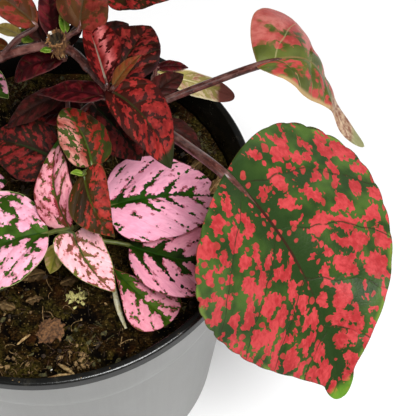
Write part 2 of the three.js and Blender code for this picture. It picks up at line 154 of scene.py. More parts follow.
class Shader:
    """A material and short ways to add nodes to it. A value may be a number, a tuple or a wire."""

    def __init__(self, name):
        self.material = bpy.data.materials.new(name)
        self.material.use_nodes = True
        self.tree = self.material.node_tree
        self.skin = self.tree.nodes["Principled BSDF"]

    def put(self, socket, value):
        if isinstance(value, Wire):
            self.tree.links.new(value.socket, socket)
        else:
            socket.default_value = value

    def set(self, **values):
        for name, value in values.items():
            self.put(self.skin.inputs[name.replace("_", " ")], value)

    def node(self, kind, output=0, inputs=None, **settings):
        """Adds a node and returns a wire from one of its outputs. Inputs go by number or name."""
        made = self.tree.nodes.new("ShaderNode" + kind)
        for name, value in settings.items():
            setattr(made, name, value)
        for place, value in (inputs or {}).items():
            self.put(made.inputs[place], value)
        return Wire(self, made.outputs[output])

    def split(self, vector):
        """The three numbers of a vector."""
        first = self.node("SeparateXYZ", 0, {0: vector})
        return [Wire(self, socket) for socket in first.socket.node.outputs]

    def mark(self, name):
        """The three numbers that the mesh keeps under this name."""
        return self.split(self.node("Attribute", "Vector", attribute_name=name))

    def math(self, operation, *values):
        return self.node("Math", 0, dict(enumerate(values)), operation=operation)

    def vector(self, x, y, z=0.0):
        return self.node("CombineXYZ", 0, {0: x, 1: y, 2: z})

    def band(self, value, low, high):
        """0 at low and 1 at high, with a smooth run between them; low may be the larger."""
        ends = (high, low, 1.0, 0.0) if low > high else (low, high, 0.0, 1.0)
        inputs = dict(enumerate((value, *ends)))
        return self.node("MapRange", 0, inputs, interpolation_type="SMOOTHSTEP")

    def mix(self, share, a, b):
        """The colour a, going over to the colour b by this share."""
        return self.node("Mix", 2, {0: share, 6: a, 7: b}, data_type="RGBA")

    def mix_number(self, share, a, b):
        return self.node("Mix", 0, {0: share, 2: a, 3: b}, data_type="FLOAT")

    def scale(self, vector, by):
        return self.node("VectorMath", 0, {0: vector, "Scale": by}, operation="SCALE")

    def noise(self, at, size, detail=2.0, rough=0.55):
        inputs = {"Vector": at, "Scale": 1 / size, "Detail": detail, "Roughness": rough}
        return self.node("TexNoise", 0, inputs)

    def cells(self, at, size, output, feature="F1"):
        inputs = {"Vector": at, "Scale": 1 / size}
        return self.node("TexVoronoi", output, inputs, feature=feature, voronoi_dimensions="2D")

    def bump(self, height, depth):
        """Raises the surface by height times depth, in metres."""
        self.set(Normal=self.node("Bump", 0, {"Strength": 1.0, "Distance": depth, "Height": height}))


# How a leaf looks. Lengths are in millimetres. A show is the share of a colour where it is strongest, a hold
# makes splashes rarer there and a gain more frequent. Splashes follow the cells between the veinlets.

# The look's pale sheen colour and its shares are painted sheen: a pale highlight tint laid over the splashes.
LOOK = dict(
    ground=(60, 52, 26), ground_deep=(38, 24, 12), deep_reach=0.0, patch=(160, 48, 46),
    patch_deep=(104, 24, 24), cover=0.5, contrast=2.4, size=3.0, ragged=0.5, cell=0.8, stretch=1.0,
    swept=0.5, blur=0.02, islands=0.0, island_size=5.0, patchy=0.0, one_side=0.0, dots=0.0, holes=0.0,
    dot_size=2.2, vein_hold=0.1, vein_reach=0.7, vein_gaps=0.0, rib_hold=0.3, rib_reach=2.2, tip_gain=0.0,
    edge_gain=0.0, edge_reach=5.0, flame=0.0, flame_reach=6.0, flame_width=1.7,
    fringe=(120, 50, 40), fringe_show=0.0, fringe_reach=0.1, fleck=(120, 160, 50), fleck_show=0.0,
    fleck_reach=4.5, rib=(70, 54, 30), rib_width=0.35, rib_until=0.6, lateral=(70, 66, 34),
    lateral_width=0.28, lateral_show=0.2, lateral_ground=1.0, margin=(60, 45, 20), margin_reach=0.35,
    margin_show=0.8, tip=(96, 140, 40), tip_from=2.0, painted_sheen=(220, 150, 140), painted_sheen_show=0.0, painted_sheen_side=0,
    painted_sheen_width=99.0, strip=(190, 160, 110), strip_reach=0.0, dry_from=2.0, under=(120, 80, 80),
    under_show=0.5, grain=0.2, roughness=0.56, coat=0.0, specular=0.14,
)


class LeafShader(Shader):
    """A shader that knows how far each point of the leaf is from the rib, the side veins and the edge."""

    def __init__(self, name, look):
        super().__init__(name)
        self.look = look
        station, self.pitch, _ = self.mark("vein")
        self.across, along, self.edge = self.mark("place")
        self.share, self.below, self.tone = self.mark("leaf")
        seed, self.half_width, _ = self.mark("seed")
        half = self.math("GREATER_THAN", self.across, 0.0) * 0.5
        self.shift_x = (seed + half) * 37.0
        self.shift_y = (seed + half) * 53.0
        self.off_rib = abs(self.across)
        self.leaning = self.across / self.half_width
        self.at = self.pattern_place(along, self.off_rib)
        wobble = self.noise(self.at, 2.2, 1.0) * 1.2
        self.loose = self.vector(along + self.shift_x + wobble, self.off_rib + self.shift_y)
        bend = self.noise(self.vector(along, self.across, self.shift_x), 9.0, 1.0)
        self.off_lateral = self.from_lateral(station + bend * 0.3, 0.35)
        self.broad = self.noise(self.at, 7.0, 2.0)
        self.fine = self.noise(self.at, 1.3, 3.0, 0.6)

    def bowed(self, off):
        """How far back a side vein starts that passes at this distance from the rib."""
        return off * LATERAL_SLOPE + off * off / self.half_width * LATERAL_BOW

    def pattern_place(self, along, off):
        """Where a point is in the pattern, which leans with the side veins as far as the look says."""
        x = along + self.shift_x - self.bowed(off) * self.look["swept"]
        return self.vector(x, off / self.look["stretch"] + self.shift_y)

    def from_lateral(self, station, start):
        """Millimetres to the nearest side vein."""
        return abs(self.math("FRACT", station + (100 + start)) - 0.5) * self.pitch

    def bias(self, place, station, off):
        """How much likelier a splash is here than elsewhere on the leaf."""
        look = self.look
        off_vein = self.from_lateral(station, 0.5 - FIRST_LATERAL / LATERAL_SHARE)
        near_vein = self.band(off_vein, look["vein_reach"], 0.0)
        if look["vein_gaps"]:
            stretches = self.band(self.noise(place, 3.0, 1.0), 0.46, 0.56)
            near_vein = near_vein * self.mix_number(look["vein_gaps"], 1.0, stretches)
        near_rib = self.band(off / ((1.15 - self.share) * look["rib_reach"]), 1.0, 0.0)
        near_edge = self.band(self.edge, look["edge_reach"], 0.0)
        bias = near_vein * -look["vein_hold"] + near_rib * -look["rib_hold"]
        if look["flame"]:
            flame = self.band(off_vein, look["flame_width"], 0.0)
            bias = bias + flame * self.band(off, look["flame_reach"], 0.0) * -look["flame"]
        bias = bias + near_edge * look["edge_gain"] + self.share * look["tip_gain"]
        if look["patchy"]:
            bias = bias + (self.noise(self.at, 9.0, 1.0) - 0.5) * look["patchy"]
        if look["islands"]:
            inland = self.cells(place, look["island_size"], "Distance", "DISTANCE_TO_EDGE")
            bias = bias + (inland - 0.16) * look["islands"]
        if look["one_side"]:
            bias = bias + self.leaning * look["one_side"]
        return bias

    def splashes(self):
        """1 on the coloured splashes and 0 on the ground, decided for one small cell at a time."""
        look = self.look
        x, y, _ = self.split(self.cells(self.loose, look["cell"], "Position"))
        along = x - (self.shift_x + 0.6)
        off = self.math("MAXIMUM", y - self.shift_y, 0.0)
        place = self.pattern_place(along, off)
        station = (along - self.bowed(off)) / self.pitch
        blocky = self.noise(place, look["size"], 2.5, 0.62)
        smooth = self.noise(self.at, look["size"], 2.5, 0.62)
        field = blocky * look["ragged"] + smooth * (1 - look["ragged"])
        bias = self.bias(place, station, off) + (look["cover"] - 0.5)
        level = (field - 0.5) * look["contrast"] + bias
        self.fringe = self.band(level, look["fringe_reach"], 0.0)
        splash = self.band(level, -look["blur"], look["blur"])
        if look["dots"]:
            splash = self.math("MAXIMUM", splash, self.dots(look["dots"]))
        if look["holes"]:
            splash = splash * (1.0 - self.dots(look["holes"]))
        return splash

    def dots(self, share):
        """1 on small round dots, in this share of the cells that each may hold one."""
        size = self.look["dot_size"]
        chance, _, _ = self.split(self.cells(self.loose, size, "Color"))
        radius = self.band(chance, 1 - share, 1.0) * 0.4 - 0.05
        ragged = (self.fine - 0.5) * 0.25
        return self.band(self.cells(self.loose, size, "Distance") + ragged - radius, 0.04, -0.03)

    def tint(self, colour, share, name):
        """The colour, going over to one of the look's own colours by this share."""
        return self.mix(share, colour, srgb(*self.look[name]))

    def ground(self):
        """Two greens or browns in clouds, deeper by the rib and yellow by the edge where the look says."""
        look = self.look
        lighter = self.band(self.broad, 0.35, 0.65)
        if look["deep_reach"]:
            lighter = lighter * self.band(self.off_rib + self.broad * 8.0, 4.0, look["deep_reach"])
        green = self.mix(lighter, srgb(*look["ground_deep"]), srgb(*look["ground"]))
        if look["fleck_show"]:
            patchy = self.band(self.noise(self.at, 6.0, 1.0), 0.5, 0.62)
            yellowing = self.band(self.edge, look["fleck_reach"], 0.0) * patchy
            yellowing = yellowing * self.band(self.share, 0.1, 0.3)
            green = self.tint(green, yellowing * look["fleck_show"], "fleck")
        return green

    def patch(self):
        """The splashes' own colour, with a darker fringe and a painted sheen."""
        look = self.look
        tones = self.broad * 0.5 + self.fine * 0.5
        red = self.mix(self.band(tones, 0.38, 0.62), srgb(*look["patch_deep"]), srgb(*look["patch"]))
        red = self.tint(red, self.fringe * look["fringe_show"], "fringe")
        return self.with_painted_sheen(red) if look["painted_sheen_show"] else red

    def with_painted_sheen(self, colour):
        """Painted sheen, a pale tint: by the leaf's edge, or over one side of it as far from the rib as its
        width says.
        """
        look = self.look
        if look["painted_sheen_side"]:
            film_and_painted_sheen = self.band(self.leaning * look["painted_sheen_side"], 0.02, 0.4)
            film_and_painted_sheen = film_and_painted_sheen * self.band(self.off_rib, look["painted_sheen_width"] * 1.4, look["painted_sheen_width"] * 0.6)
        else:
            film_and_painted_sheen = self.band(self.edge, 7.0, 0.5)
        film_and_painted_sheen = film_and_painted_sheen * self.band(self.broad, 0.32, 0.62)
        film_and_painted_sheen = film_and_painted_sheen * self.mix_number(self.band(self.fine, 0.36, 0.56), 0.55, 1.0)
        # Painted sheen: the splashes are tinted pale, as a highlight would make them look.
        return self.tint(colour, film_and_painted_sheen * look["painted_sheen_show"], "painted_sheen")

    def with_veins(self, colour, splashes):
        """Side veins in broken lines, fainter on the ground where the look says, and the rib."""
        look = self.look
        patchy = self.band(self.noise(self.at, 3.0, 1.0), 0.36, 0.5)
        line = self.band(self.off_lateral, look["lateral_width"], 0.05) * patchy
        line = line * self.mix_number(splashes, look["lateral_ground"], 1.0)
        colour = self.tint(colour, line * look["lateral_show"], "lateral")
        width = (1.05 - self.share) * look["rib_width"]
        middle = self.band(self.off_rib - width, 0.12, -0.12)
        fading = self.band(self.share, look["rib_until"] + 0.2, look["rib_until"] - 0.2)
        return self.tint(colour, middle * fading, "rib")

    def with_edges(self, colour):
        """The thin margin, a dried strip along one side, a withered end and the tip's own colour."""
        look = self.look
        outline = self.band(self.edge, look["margin_reach"], 0.02)
        colour = self.tint(colour, outline * look["margin_show"], "margin")
        if look["strip_reach"]:
            strip = self.band(self.edge, look["strip_reach"], 0.6) * self.band(self.across, 0.0, 1.0)
            colour = self.tint(colour, strip * self.band(self.share, 0.16, 0.26), "strip")
        end = self.share + self.broad * 0.1
        if look["dry_from"] < 1:
            withered = self.mix(self.band(self.fine, 0.35, 0.65), srgb(128, 84, 66), srgb(190, 164, 136))
            colour = self.mix(self.band(end, look["dry_from"], look["dry_from"] + 0.09), colour, withered)
        if look["tip_from"] < 1:
            colour = self.tint(colour, self.band(end, look["tip_from"], look["tip_from"] + 0.06), "tip")
        return colour


def leaf_finish(name, **values):
    look = {**LOOK, **values}
    s = LeafShader(name, look)
    splashes = s.splashes()
    colour = s.with_edges(s.with_veins(s.mix(splashes, s.ground(), s.patch()), splashes))
    colour = s.tint(colour, s.below * look["under_show"], "under")
    # Partly painted light: each leaf's tone scales its colour. It holds the leaf's own tone, and it also
    # lifts leaves that lie in shade.
    colour = s.scale(colour, s.tone * (s.fine * look["grain"] + (1 - look["grain"] / 2)))
    veinlets = s.band(s.cells(s.at, 1.1, "Distance", "DISTANCE_TO_EDGE"), 0.0, 0.25)
    sunk = s.band(s.off_lateral, 0.5, 0.0)
    s.bump(veinlets * 0.3 + s.fine * 0.3 - sunk, 0.06 * MM)
    s.set(Base_Color=colour, Roughness=s.fine * 0.16 + (look["roughness"] - 0.08), IOR=1.42)
    s.set(Coat_Weight=look["coat"], Coat_Roughness=0.25, Specular_IOR_Level=look["specular"])
    return s.material


def stem_finish(name, dark, pale, painted_highlight_and_spots, rib, roughness=0.45):
    """Soft stem skin: ridges, painted highlight patches and pale breathing spots; under a leaf, the rib's
    colour.
    """
    s = Shader(name)
    around, along, _ = s.mark("place")
    seed, _, _ = s.mark("seed")
    over, _, _ = s.mark("leaf")
    ridges = s.noise(s.vector(around, along * 0.16, seed * 11.0), 0.35, 2.0)
    patches = s.noise(s.vector(around, along * 0.4, seed), 2.2, 2.0)
    spots = s.cells(s.vector(around, along * 0.6, seed), 0.9, "Distance")
    colour = s.mix(s.band(ridges, 0.35, 0.65), srgb(*dark), srgb(*pale))
    # Painted highlight: random patches of the highlight colour.
    colour = s.mix(s.band(patches, 0.46, 0.7) * 0.35, colour, srgb(*painted_highlight_and_spots))
    colour = s.mix(s.band(spots, 0.2, 0.1) * 0.3, colour, srgb(*painted_highlight_and_spots))
    colour = s.mix(s.band(over, 0.02, 0.2), colour, srgb(*rib))
    s.bump(ridges + patches * 0.5, 0.08 * MM)
    s.set(Base_Color=colour, Roughness=roughness, IOR=1.42, Specular_IOR_Level=0.5)
    return s.material


def plain_finish(name, dark, pale, size, roughness, depth, stretch=1.0, detail=3.0):
    """Two tones of one stuff, mixed by noise in the piece's own millimetres."""
    s = Shader(name)
    sized = {"Vector": s.node("TexCoord", "Object"), "Scale": (1 / MM, 1 / MM, stretch / MM)}
    grain = s.noise(s.node("Mapping", 0, sized), size, detail, 0.62)
    s.bump(grain, depth * MM)
    s.set(Base_Color=s.mix(s.band(grain, 0.32, 0.68), srgb(*dark), srgb(*pale)))
    s.set(Roughness=grain * 0.2 + (roughness - 0.1))
    return s.material


SPECKLED = dict(
    cell=0.42, blur=0.08, islands=0.7, island_size=3.0, vein_hold=0.2, patchy=0.9, ragged=0.65, holes=0.3,
    dot_size=1.4, fringe_show=0.7, fringe_reach=0.14)
CLOUDY = dict(cell=0.5, blur=0.2)
RED = dict(
    SPECKLED, ground=(50, 34, 10), ground_deep=(34, 14, 4), patch=(146, 40, 36), patch_deep=(102, 20, 18),
    cover=0.6, size=2.1, cell=0.45, blur=0.02, island_size=3.4, edge_gain=-0.08, dot_size=1.5,
    fringe=(84, 26, 18), fringe_reach=0.12, rib=(46, 40, 16), lateral=(36, 26, 11), lateral_show=0.5,
    margin=(44, 16, 12), under=(100, 48, 44))
TWO_TONED = dict(
    SPECKLED, cell=0.36, blur=0.02, islands=0.6, island_size=2.4, rib_hold=0.4, ragged=0.6,
    margin=(80, 66, 22), under=(110, 84, 50))
PINK = dict(
    ground=(36, 74, 6), ground_deep=(18, 40, 0), patch=(243, 172, 196), patch_deep=(232, 154, 180),
    cover=1.0, contrast=3.0, size=2.6, cell=0.5, swept=1.0, blur=0.03, vein_hold=0.85, vein_reach=1.1,
    vein_gaps=1.0, rib_hold=1.0, rib_reach=2.4, edge_gain=-0.35, edge_reach=0.9, ragged=0.85, patchy=0.7,
    holes=0.06, dot_size=1.5, fringe=(150, 52, 66), fringe_show=0.9, fringe_reach=0.24, rib=(30, 62, 12),
    rib_width=0.22, rib_until=0.7, lateral=(196, 112, 128), lateral_width=0.14, lateral_show=0.5,
    lateral_ground=0.0, margin=(120, 50, 46), margin_reach=0.3, margin_show=0.9, under=(200, 150, 140),
    under_show=0.7, specular=0.12, flame=1.0, grain=0.1)

LEAF_FINISHES = {
    "scarlet": dict(
        ground=(68, 94, 36), ground_deep=(35, 56, 22), deep_reach=22.0, patch=(190, 66, 68),
        patch_deep=(158, 42, 44), cover=0.4, size=3.2, islands=2.0, island_size=5.6, patchy=1.3,
        vein_hold=0.15, vein_reach=1.0, rib_hold=0.55, rib_reach=8.5, tip_gain=0.2, edge_gain=-0.06,
        dots=0.55, dot_size=2.8, fringe=(140, 58, 44), fringe_show=0.5, fringe_reach=0.07,
        rib=(50, 32, 20), rib_width=0.5, rib_until=0.55, lateral=(40, 44, 20), lateral_width=0.4,
        lateral_show=0.85, margin=(64, 56, 24), fleck=(136, 160, 62), fleck_show=0.5, fleck_reach=2.6,
        tip_from=0.98, under=(150, 90, 88), roughness=0.42, coat=0.04, specular=0.15),
    "blush": dict(
        ground=(92, 100, 42), ground_deep=(66, 74, 26), patch=(184, 74, 70), patch_deep=(162, 56, 52),
        cover=0.55, size=4.0, cell=0.9, blur=0.12, islands=0.8, island_size=7.0, patchy=0.8,
        one_side=-0.35, rib_hold=0.9, rib_reach=4.0, edge_gain=0.05, dots=0.3, dot_size=3.0,
        rib=(116, 100, 56), rib_width=0.4, lateral=(160, 150, 104), lateral_show=0.6,
        margin=(150, 116, 74), margin_reach=0.5, margin_show=0.4, painted_sheen=(206, 142, 128), painted_sheen_show=0.5,
        painted_sheen_side=-1, strip=(186, 154, 106), strip_reach=1.9, dry_from=0.68, tip=(140, 140, 98),
        tip_from=0.94, under=(170, 110, 100), roughness=0.42, coat=0.05),
    "red": RED,
    "red_tipped": dict(
        RED, ground=(54, 22, 12), ground_deep=(46, 8, 6), cover=0.66, one_side=-0.16, tip_gain=-0.05,
        tip=(38, 42, 18), tip_from=0.88, specular=0.1),
    "russet": dict(
        ground=(84, 52, 20), ground_deep=(62, 28, 8), patch=(126, 42, 34), patch_deep=(92, 26, 15),
        size=2.2, cell=0.42, blur=0.09, islands=0.5, patchy=1.2, holes=0.35, dot_size=1.5,
        fringe=(110, 52, 30), fringe_show=0.6, fringe_reach=0.2, rib=(70, 50, 26), margin=(70, 36, 20),
        under=(110, 62, 48)),
    "ruby": dict(
        SPECKLED, ground=(46, 14, 8), ground_deep=(26, 6, 3), patch=(124, 38, 34), patch_deep=(86, 20, 18),
        cover=0.55, size=2.0, ragged=0.5, patchy=1.0, rib_hold=0.25, edge_gain=-0.3, edge_reach=3.4,
        holes=0.25, fringe=(74, 20, 17), rib=(40, 28, 14), margin=(50, 20, 24), margin_reach=0.8,
        under=(84, 38, 38), specular=0.08),
    "crimson": dict(
        SPECKLED, ground=(38, 22, 11), ground_deep=(26, 8, 5), patch=(114, 30, 29), patch_deep=(72, 16, 13),
        cover=0.58, size=1.8, vein_hold=0.25, rib_hold=0.35, holes=0.2, fringe=(60, 18, 12),
        rib=(34, 40, 18), rib_width=0.45, lateral=(32, 34, 14), lateral_show=0.5, margin=(54, 24, 24),
        under=(84, 38, 34)),
    "plum": dict(
        CLOUDY, ground=(42, 7, 9), ground_deep=(28, 2, 3), patch=(82, 17, 23), patch_deep=(54, 8, 10),
        rib=(42, 9, 12), lateral_show=0.15, margin=(84, 50, 48), margin_reach=0.5, margin_show=0.5,
        under=(80, 46, 44), specular=0.06),
    "maroon": dict(
        CLOUDY, ground=(44, 18, 11), ground_deep=(26, 7, 4), patch=(74, 24, 22), patch_deep=(48, 12, 10),
        size=2.4, rib=(34, 12, 8), lateral_show=0.1, margin=(60, 28, 24), margin_show=0.4,
        under=(56, 26, 22)),
    "flushed": dict(
        SPECKLED, ground=(60, 9, 6), ground_deep=(36, 4, 3), patch=(128, 34, 32), patch_deep=(96, 16, 15),
        size=2.0, cell=0.4, swept=0.6, ragged=0.7, islands=0.0, patchy=1.2, rib_hold=-0.25, rib_reach=3.0,
        dot_size=1.2, fringe=(90, 20, 20), fringe_show=0.6, fringe_reach=0.2, painted_sheen=(206, 116, 114),
        painted_sheen_show=0.85, painted_sheen_side=1, painted_sheen_width=2.4, rib=(138, 124, 108), rib_width=0.25,
        lateral_show=0.1, margin=(50, 14, 12), under=(100, 44, 40), specular=0.05),
    "mottled": dict(
        TWO_TONED, ground=(62, 42, 9), ground_deep=(40, 24, 5), patch=(170, 52, 44),
        patch_deep=(118, 28, 22), cover=0.42, size=1.6, patchy=1.4, one_side=-0.35, tip_gain=0.3,
        holes=0.4, dot_size=1.1, fringe=(104, 40, 24), fringe_reach=0.25, rib=(64, 68, 18)),
    # Red and green splashes, with a painted sheen over one side.
    "frosted": dict(
        TWO_TONED, ground=(58, 72, 20), ground_deep=(48, 32, 8), patch=(162, 48, 36),
        patch_deep=(122, 30, 18), cover=0.6, size=1.8, patchy=0.8, dot_size=1.2, fringe=(104, 46, 24),
        fringe_reach=0.15, painted_sheen=(206, 148, 136), painted_sheen_show=0.8, painted_sheen_side=-1, rib=(56, 74, 16)),
    "bronze": dict(
        CLOUDY, ground=(104, 58, 22), ground_deep=(74, 36, 13), patch=(124, 44, 26),
        patch_deep=(92, 30, 17), size=2.2, rib=(96, 70, 34), margin=(90, 58, 30), under=(110, 84, 50)),
    "pink": PINK,
    "pink_flame": dict(
        PINK, ground=(56, 74, 14), ground_deep=(126, 38, 44), patch=(236, 158, 172),
        patch_deep=(222, 130, 148), cover=0.92, size=1.8, swept=0.4, rib_hold=0.8, rib_reach=1.5,
        flame=0.3, holes=0.3, fringe=(150, 52, 62), fringe_show=0.95, fringe_reach=0.4, rib=(56, 74, 20),
        tip=(44, 78, 20), tip_from=0.93, painted_sheen=(238, 184, 170), painted_sheen_show=0.3),
    "pink_bold": dict(
        PINK, ground=(60, 92, 20), ground_deep=(36, 60, 8), patch=(244, 180, 200),
        patch_deep=(238, 160, 184), cover=0.7, size=2.8, swept=0.3, ragged=0.65, patchy=1.7,
        vein_hold=0.4, rib_hold=0.7, rib_reach=2.2, flame=0.5, fringe=(134, 60, 58), fringe_show=0.6,
        margin=(170, 180, 112)),
    "pink_net": dict(
        PINK, ground=(92, 96, 34), ground_deep=(122, 62, 54), patch=(250, 196, 202),
        patch_deep=(242, 174, 182), cover=0.98, size=1.7, cell=0.42, swept=0.5, patchy=1.1, rib_hold=0.7,
        rib_reach=1.4, flame=0.25, holes=0.22, dot_size=1.2, fringe=(172, 88, 80), fringe_reach=0.32,
        margin=(120, 140, 70)),
    "pink_lobed": dict(
        PINK, ground=(30, 54, 4), ground_deep=(14, 28, 0), patch=(238, 162, 182),
        patch_deep=(226, 142, 166), vein_hold=0.8, rib_hold=1.05, rib_reach=3.2, flame=1.35,
        flame_reach=8.0, flame_width=2.1),
    "pink_round": dict(
        PINK, ground=(66, 92, 16), ground_deep=(40, 60, 6), patch=(234, 156, 172),
        patch_deep=(222, 136, 154), cover=0.88, size=2.0, swept=0.4, patchy=1.1, vein_hold=0.5,
        rib_reach=3.0, flame=0.8, flame_reach=5.0, flame_width=1.5, fringe_reach=0.2),
    "fading": dict(
        ground=(128, 122, 48), ground_deep=(96, 96, 32), patch=(176, 134, 106), patch_deep=(150, 142, 76),
        cover=0.45, cell=0.6, blur=0.3, rib=(120, 124, 60), rib_width=0.25, margin=(150, 140, 80),
        under=(160, 150, 96)),
    "cream": dict(
        ground=(158, 146, 84), ground_deep=(132, 120, 62), patch=(206, 186, 148), patch_deep=(146, 96, 74),
        size=2.4, cell=0.6, blur=0.12, swept=1.0, rib=(196, 186, 138), rib_width=0.4, tip=(104, 56, 48),
        tip_from=0.8, margin=(222, 210, 176), margin_reach=0.8, under=(180, 170, 130)),
    "lime": dict(
        CLOUDY, ground=(120, 146, 42), ground_deep=(74, 112, 22), patch=(170, 178, 84),
        patch_deep=(120, 146, 40), cover=0.4, size=1.4, rib=(150, 170, 80), rib_width=0.2, lateral_show=0.1,
        margin=(130, 140, 60), under=(160, 170, 96)),
    "straw": dict(
        ground=(206, 186, 104), ground_deep=(170, 142, 70), patch=(214, 196, 124),
        patch_deep=(186, 164, 90), size=2.0, blur=0.2, stretch=2.0, swept=1.0, rib=(190, 170, 116),
        rib_width=0.3, lateral_show=0.1, margin=(170, 130, 80), under=(180, 140, 90)),
    "withered": dict(
        ground=(84, 64, 38), ground_deep=(50, 36, 20), patch=(138, 114, 78), patch_deep=(92, 70, 44),
        size=1.6, cell=0.5, blur=0.3, stretch=2.0, swept=1.0, rib=(120, 96, 62), rib_width=0.3,
        lateral_show=0.3, margin=(70, 50, 28), under=(110, 88, 58), specular=0.1),
}
finishes = {name: leaf_finish("leaf_" + name, **values) for name, values in LEAF_FINISHES.items()}
finishes["purple_stem"] = stem_finish(
    "stem_purple", (55, 26, 22), (96, 54, 47), (152, 114, 104), rib=(56, 48, 22), roughness=0.3)
finishes["green_stem"] = stem_finish(
    "stem_green", (58, 66, 24), (94, 102, 42), (136, 118, 68), rib=(46, 72, 26))

PLAIN_FINISHES = {
    "dry": dict(
        name="dry_fibre", dark=(128, 92, 50), pale=(206, 176, 120), size=0.8, roughness=0.75, depth=0.1,
        stretch=0.3),
    # Partly painted light: the dead stalk's pale straw colour is made paler still, because it lies in a
    # leaf's shade.
    "dead": dict(
        name="dead_stalk", dark=(226, 212, 150), pale=(255, 250, 222), size=1.0, roughness=0.7, depth=0.1,
        stretch=0.2),
    "stub_skin": dict(
        name="stub_skin", dark=(66, 38, 17), pale=(150, 106, 60), size=0.7, roughness=0.8, depth=0.2,
        stretch=0.25),
    "stub_pith": dict(
        name="stub_pith", dark=(12, 8, 3), pale=(76, 58, 26), size=0.5, roughness=0.9, depth=0.2,
        stretch=0.12),
    "bark": dict(
        name="bark_flakes", dark=(58, 36, 20), pale=(138, 96, 58), size=0.9, roughness=0.85, depth=0.5,
        stretch=0.4, detail=5.0),
}
for kind, values in PLAIN_FINISHES.items():
    finishes[kind] = plain_finish(**values)


# Meshes


def link(name, data):
    """A new object with this data, put into the scene."""
    made = bpy.data.objects.new(name, data)
    scene.collection.objects.link(made)
    return made


class Heap:
    """Closed shells gathered into one mesh, each with a material and the numbers that its material reads."""

    MARKS = ("vein", "place", "leaf", "seed")

    def __init__(self):
        self.points = []
        self.faces = []
        self.kinds = []
        self.marks = {name: [] for name in self.MARKS}
        self.finishes = []
        self.count = 0

    def add(self, points, faces, finish, **marks):
        """Adds a closed shell of one finish, or with a list of each face's finish."""
        listed = finish if isinstance(finish, list) else [finish] * len(faces)
        for one in listed:
            if one not in self.finishes:
                self.finishes.append(one)
        self.points.append(np.asarray(points, float))
        self.faces.extend([[corner + self.count for corner in face] for face in faces])
        self.kinds.extend(self.finishes.index(one) for one in listed)
        for name in self.MARKS:
            values = np.zeros((len(points), 3))
            if name in marks:
                values[:] = marks[name]
            self.marks[name].append(values)
        self.count += len(points)

    def mesh(self, name):
        made = bpy.data.meshes.new(name)
        made.from_pydata((np.concatenate(self.points) * MM).tolist(), [], self.faces)
        return made

    def piece(self, name, slot, replaced=(), corner=45):
        """Makes the object. Its edges are sharp where its faces turn by more than corner degrees."""
        mesh = self.mesh(name)
        for finish in self.finishes:
            mesh.materials.append(finishes[finish])
        mesh.polygons.foreach_set("material_index", self.kinds)
        mesh.polygons.foreach_set("use_smooth", [True] * len(mesh.polygons))
        for mark, values in self.marks.items():
            kept = mesh.attributes.new(mark, "FLOAT_VECTOR", "POINT")
            kept.data.foreach_set("vector", np.concatenate(values).ravel())
        mesh.set_sharp_from_angle(angle=math.radians(corner))
        mesh.update()
        made = link(name, mesh)
        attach(made, "root")
        if replaced:
            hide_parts(*replaced)
        return made


def unit(vector):
    return vector / np.linalg.norm(vector)


def polar(radius, angle):
    return radius * math.cos(angle), radius * math.sin(angle)


def tube(rings, sides):
    """The quads between rings of this many points each."""
    faces = []
    for i in range(rings - 1):
        for k in range(sides):
            here, beside = i * sides + k, i * sides + (k + 1) % sides
            faces.append([here, beside, beside + sides, here + sides])
    return faces


def lids(rings, sides):
    """The faces that close a tube at its first ring and its last."""
    last = (rings - 1) * sides
    return [list(range(sides))[::-1], [last + k for k in range(sides)]]


def curve(points, per_span):
    """Points along a centripetal Catmull-Rom curve, as three.js draws it."""
    known = [2 * points[0] - points[1], *points, 2 * points[-1] - points[-2]]
    found = []
    for i in range(1, len(known) - 2):
        a, b, c, d = known[i - 1 : i + 3]
        before, span, after = (math.sqrt(np.linalg.norm(q - p)) for p, q in ((a, b), (b, c), (c, d)))
        leave = ((b - a) / before - (c - a) / (before + span) + (c - b) / span) * span
        arrive = ((c - b) / span - (d - b) / (span + after) + (d - c) / after) * span
        square = -3 * b + 3 * c - 2 * leave - arrive
        cube = 2 * b - 2 * c + leave + arrive
        for k in range(per_span):
            w = k / per_span
            found.append(b + leave * w + square * w**2 + cube * w**3)
    found.append(points[-1])
    return np.array(found)


def limb(heap, points, radius, finish, sides=STALK_SIDES, per_span=6, seed=0.0, bare=1.0):
    """A closed round tube along a curve. radius is a number, or a function of the share of the way and of the
    millimetres gone. bare is the share of the way where it becomes a leaf's rib."""
    path = curve([np.array(p, float) for p in points], per_span)
    steps = np.diff(path, axis=0)
    travelled = np.concatenate([[0], np.cumsum(np.linalg.norm(steps, axis=1))])
    ways = [unit(path[min(i + 1, len(path) - 1)] - path[max(i - 1, 0)]) for i in range(len(path))]
    side = unit(np.cross(ways[0], (0.31, 0.86, 0.4)))
    rings, places, overs = [], [], []
    for centre, way, gone in zip(path, ways, travelled):
        side = unit(side - way * (side @ way))
        up = np.cross(way, side)
        share = gone / travelled[-1]
        reach = radius(share, gone) if callable(radius) else radius
        for k in range(sides):
            angle = FULL_TURN * k / sides
            rings.append(centre + reach * (side * math.cos(angle) + up * math.sin(angle)))
            places.append((reach * math.sin(angle), gone, 0))
            overs.append((max(share - bare, 0), 0, 0))
    faces = tube(len(path), sides) + lids(len(path), sides)
    heap.add(rings, faces, finish, place=places, leaf=overs, seed=(seed, 0, 0))


# Leaf blades, by the formula of the frame's leaves, on a finer grid and with veins, puckers and toothed edges

LEAF = dict(
    width=12, blunt=0.6, sharp=0.9, arch=0.09, nod=0, sweep=0, roll=0, twist=0, fold=0.12, curl=0.12,
    lobe=0, shear=0, skew=0, tail=0, tail_from=0.7, stalk=0.6, stalk_rise=0.08, face=(0, 0, 1), teeth=9,
    tooth=0.02, pucker=0.04, ripple=0.025, ridge=0.0, rib_taper=1.4, tone=1.0, stem="purple_stem",
)


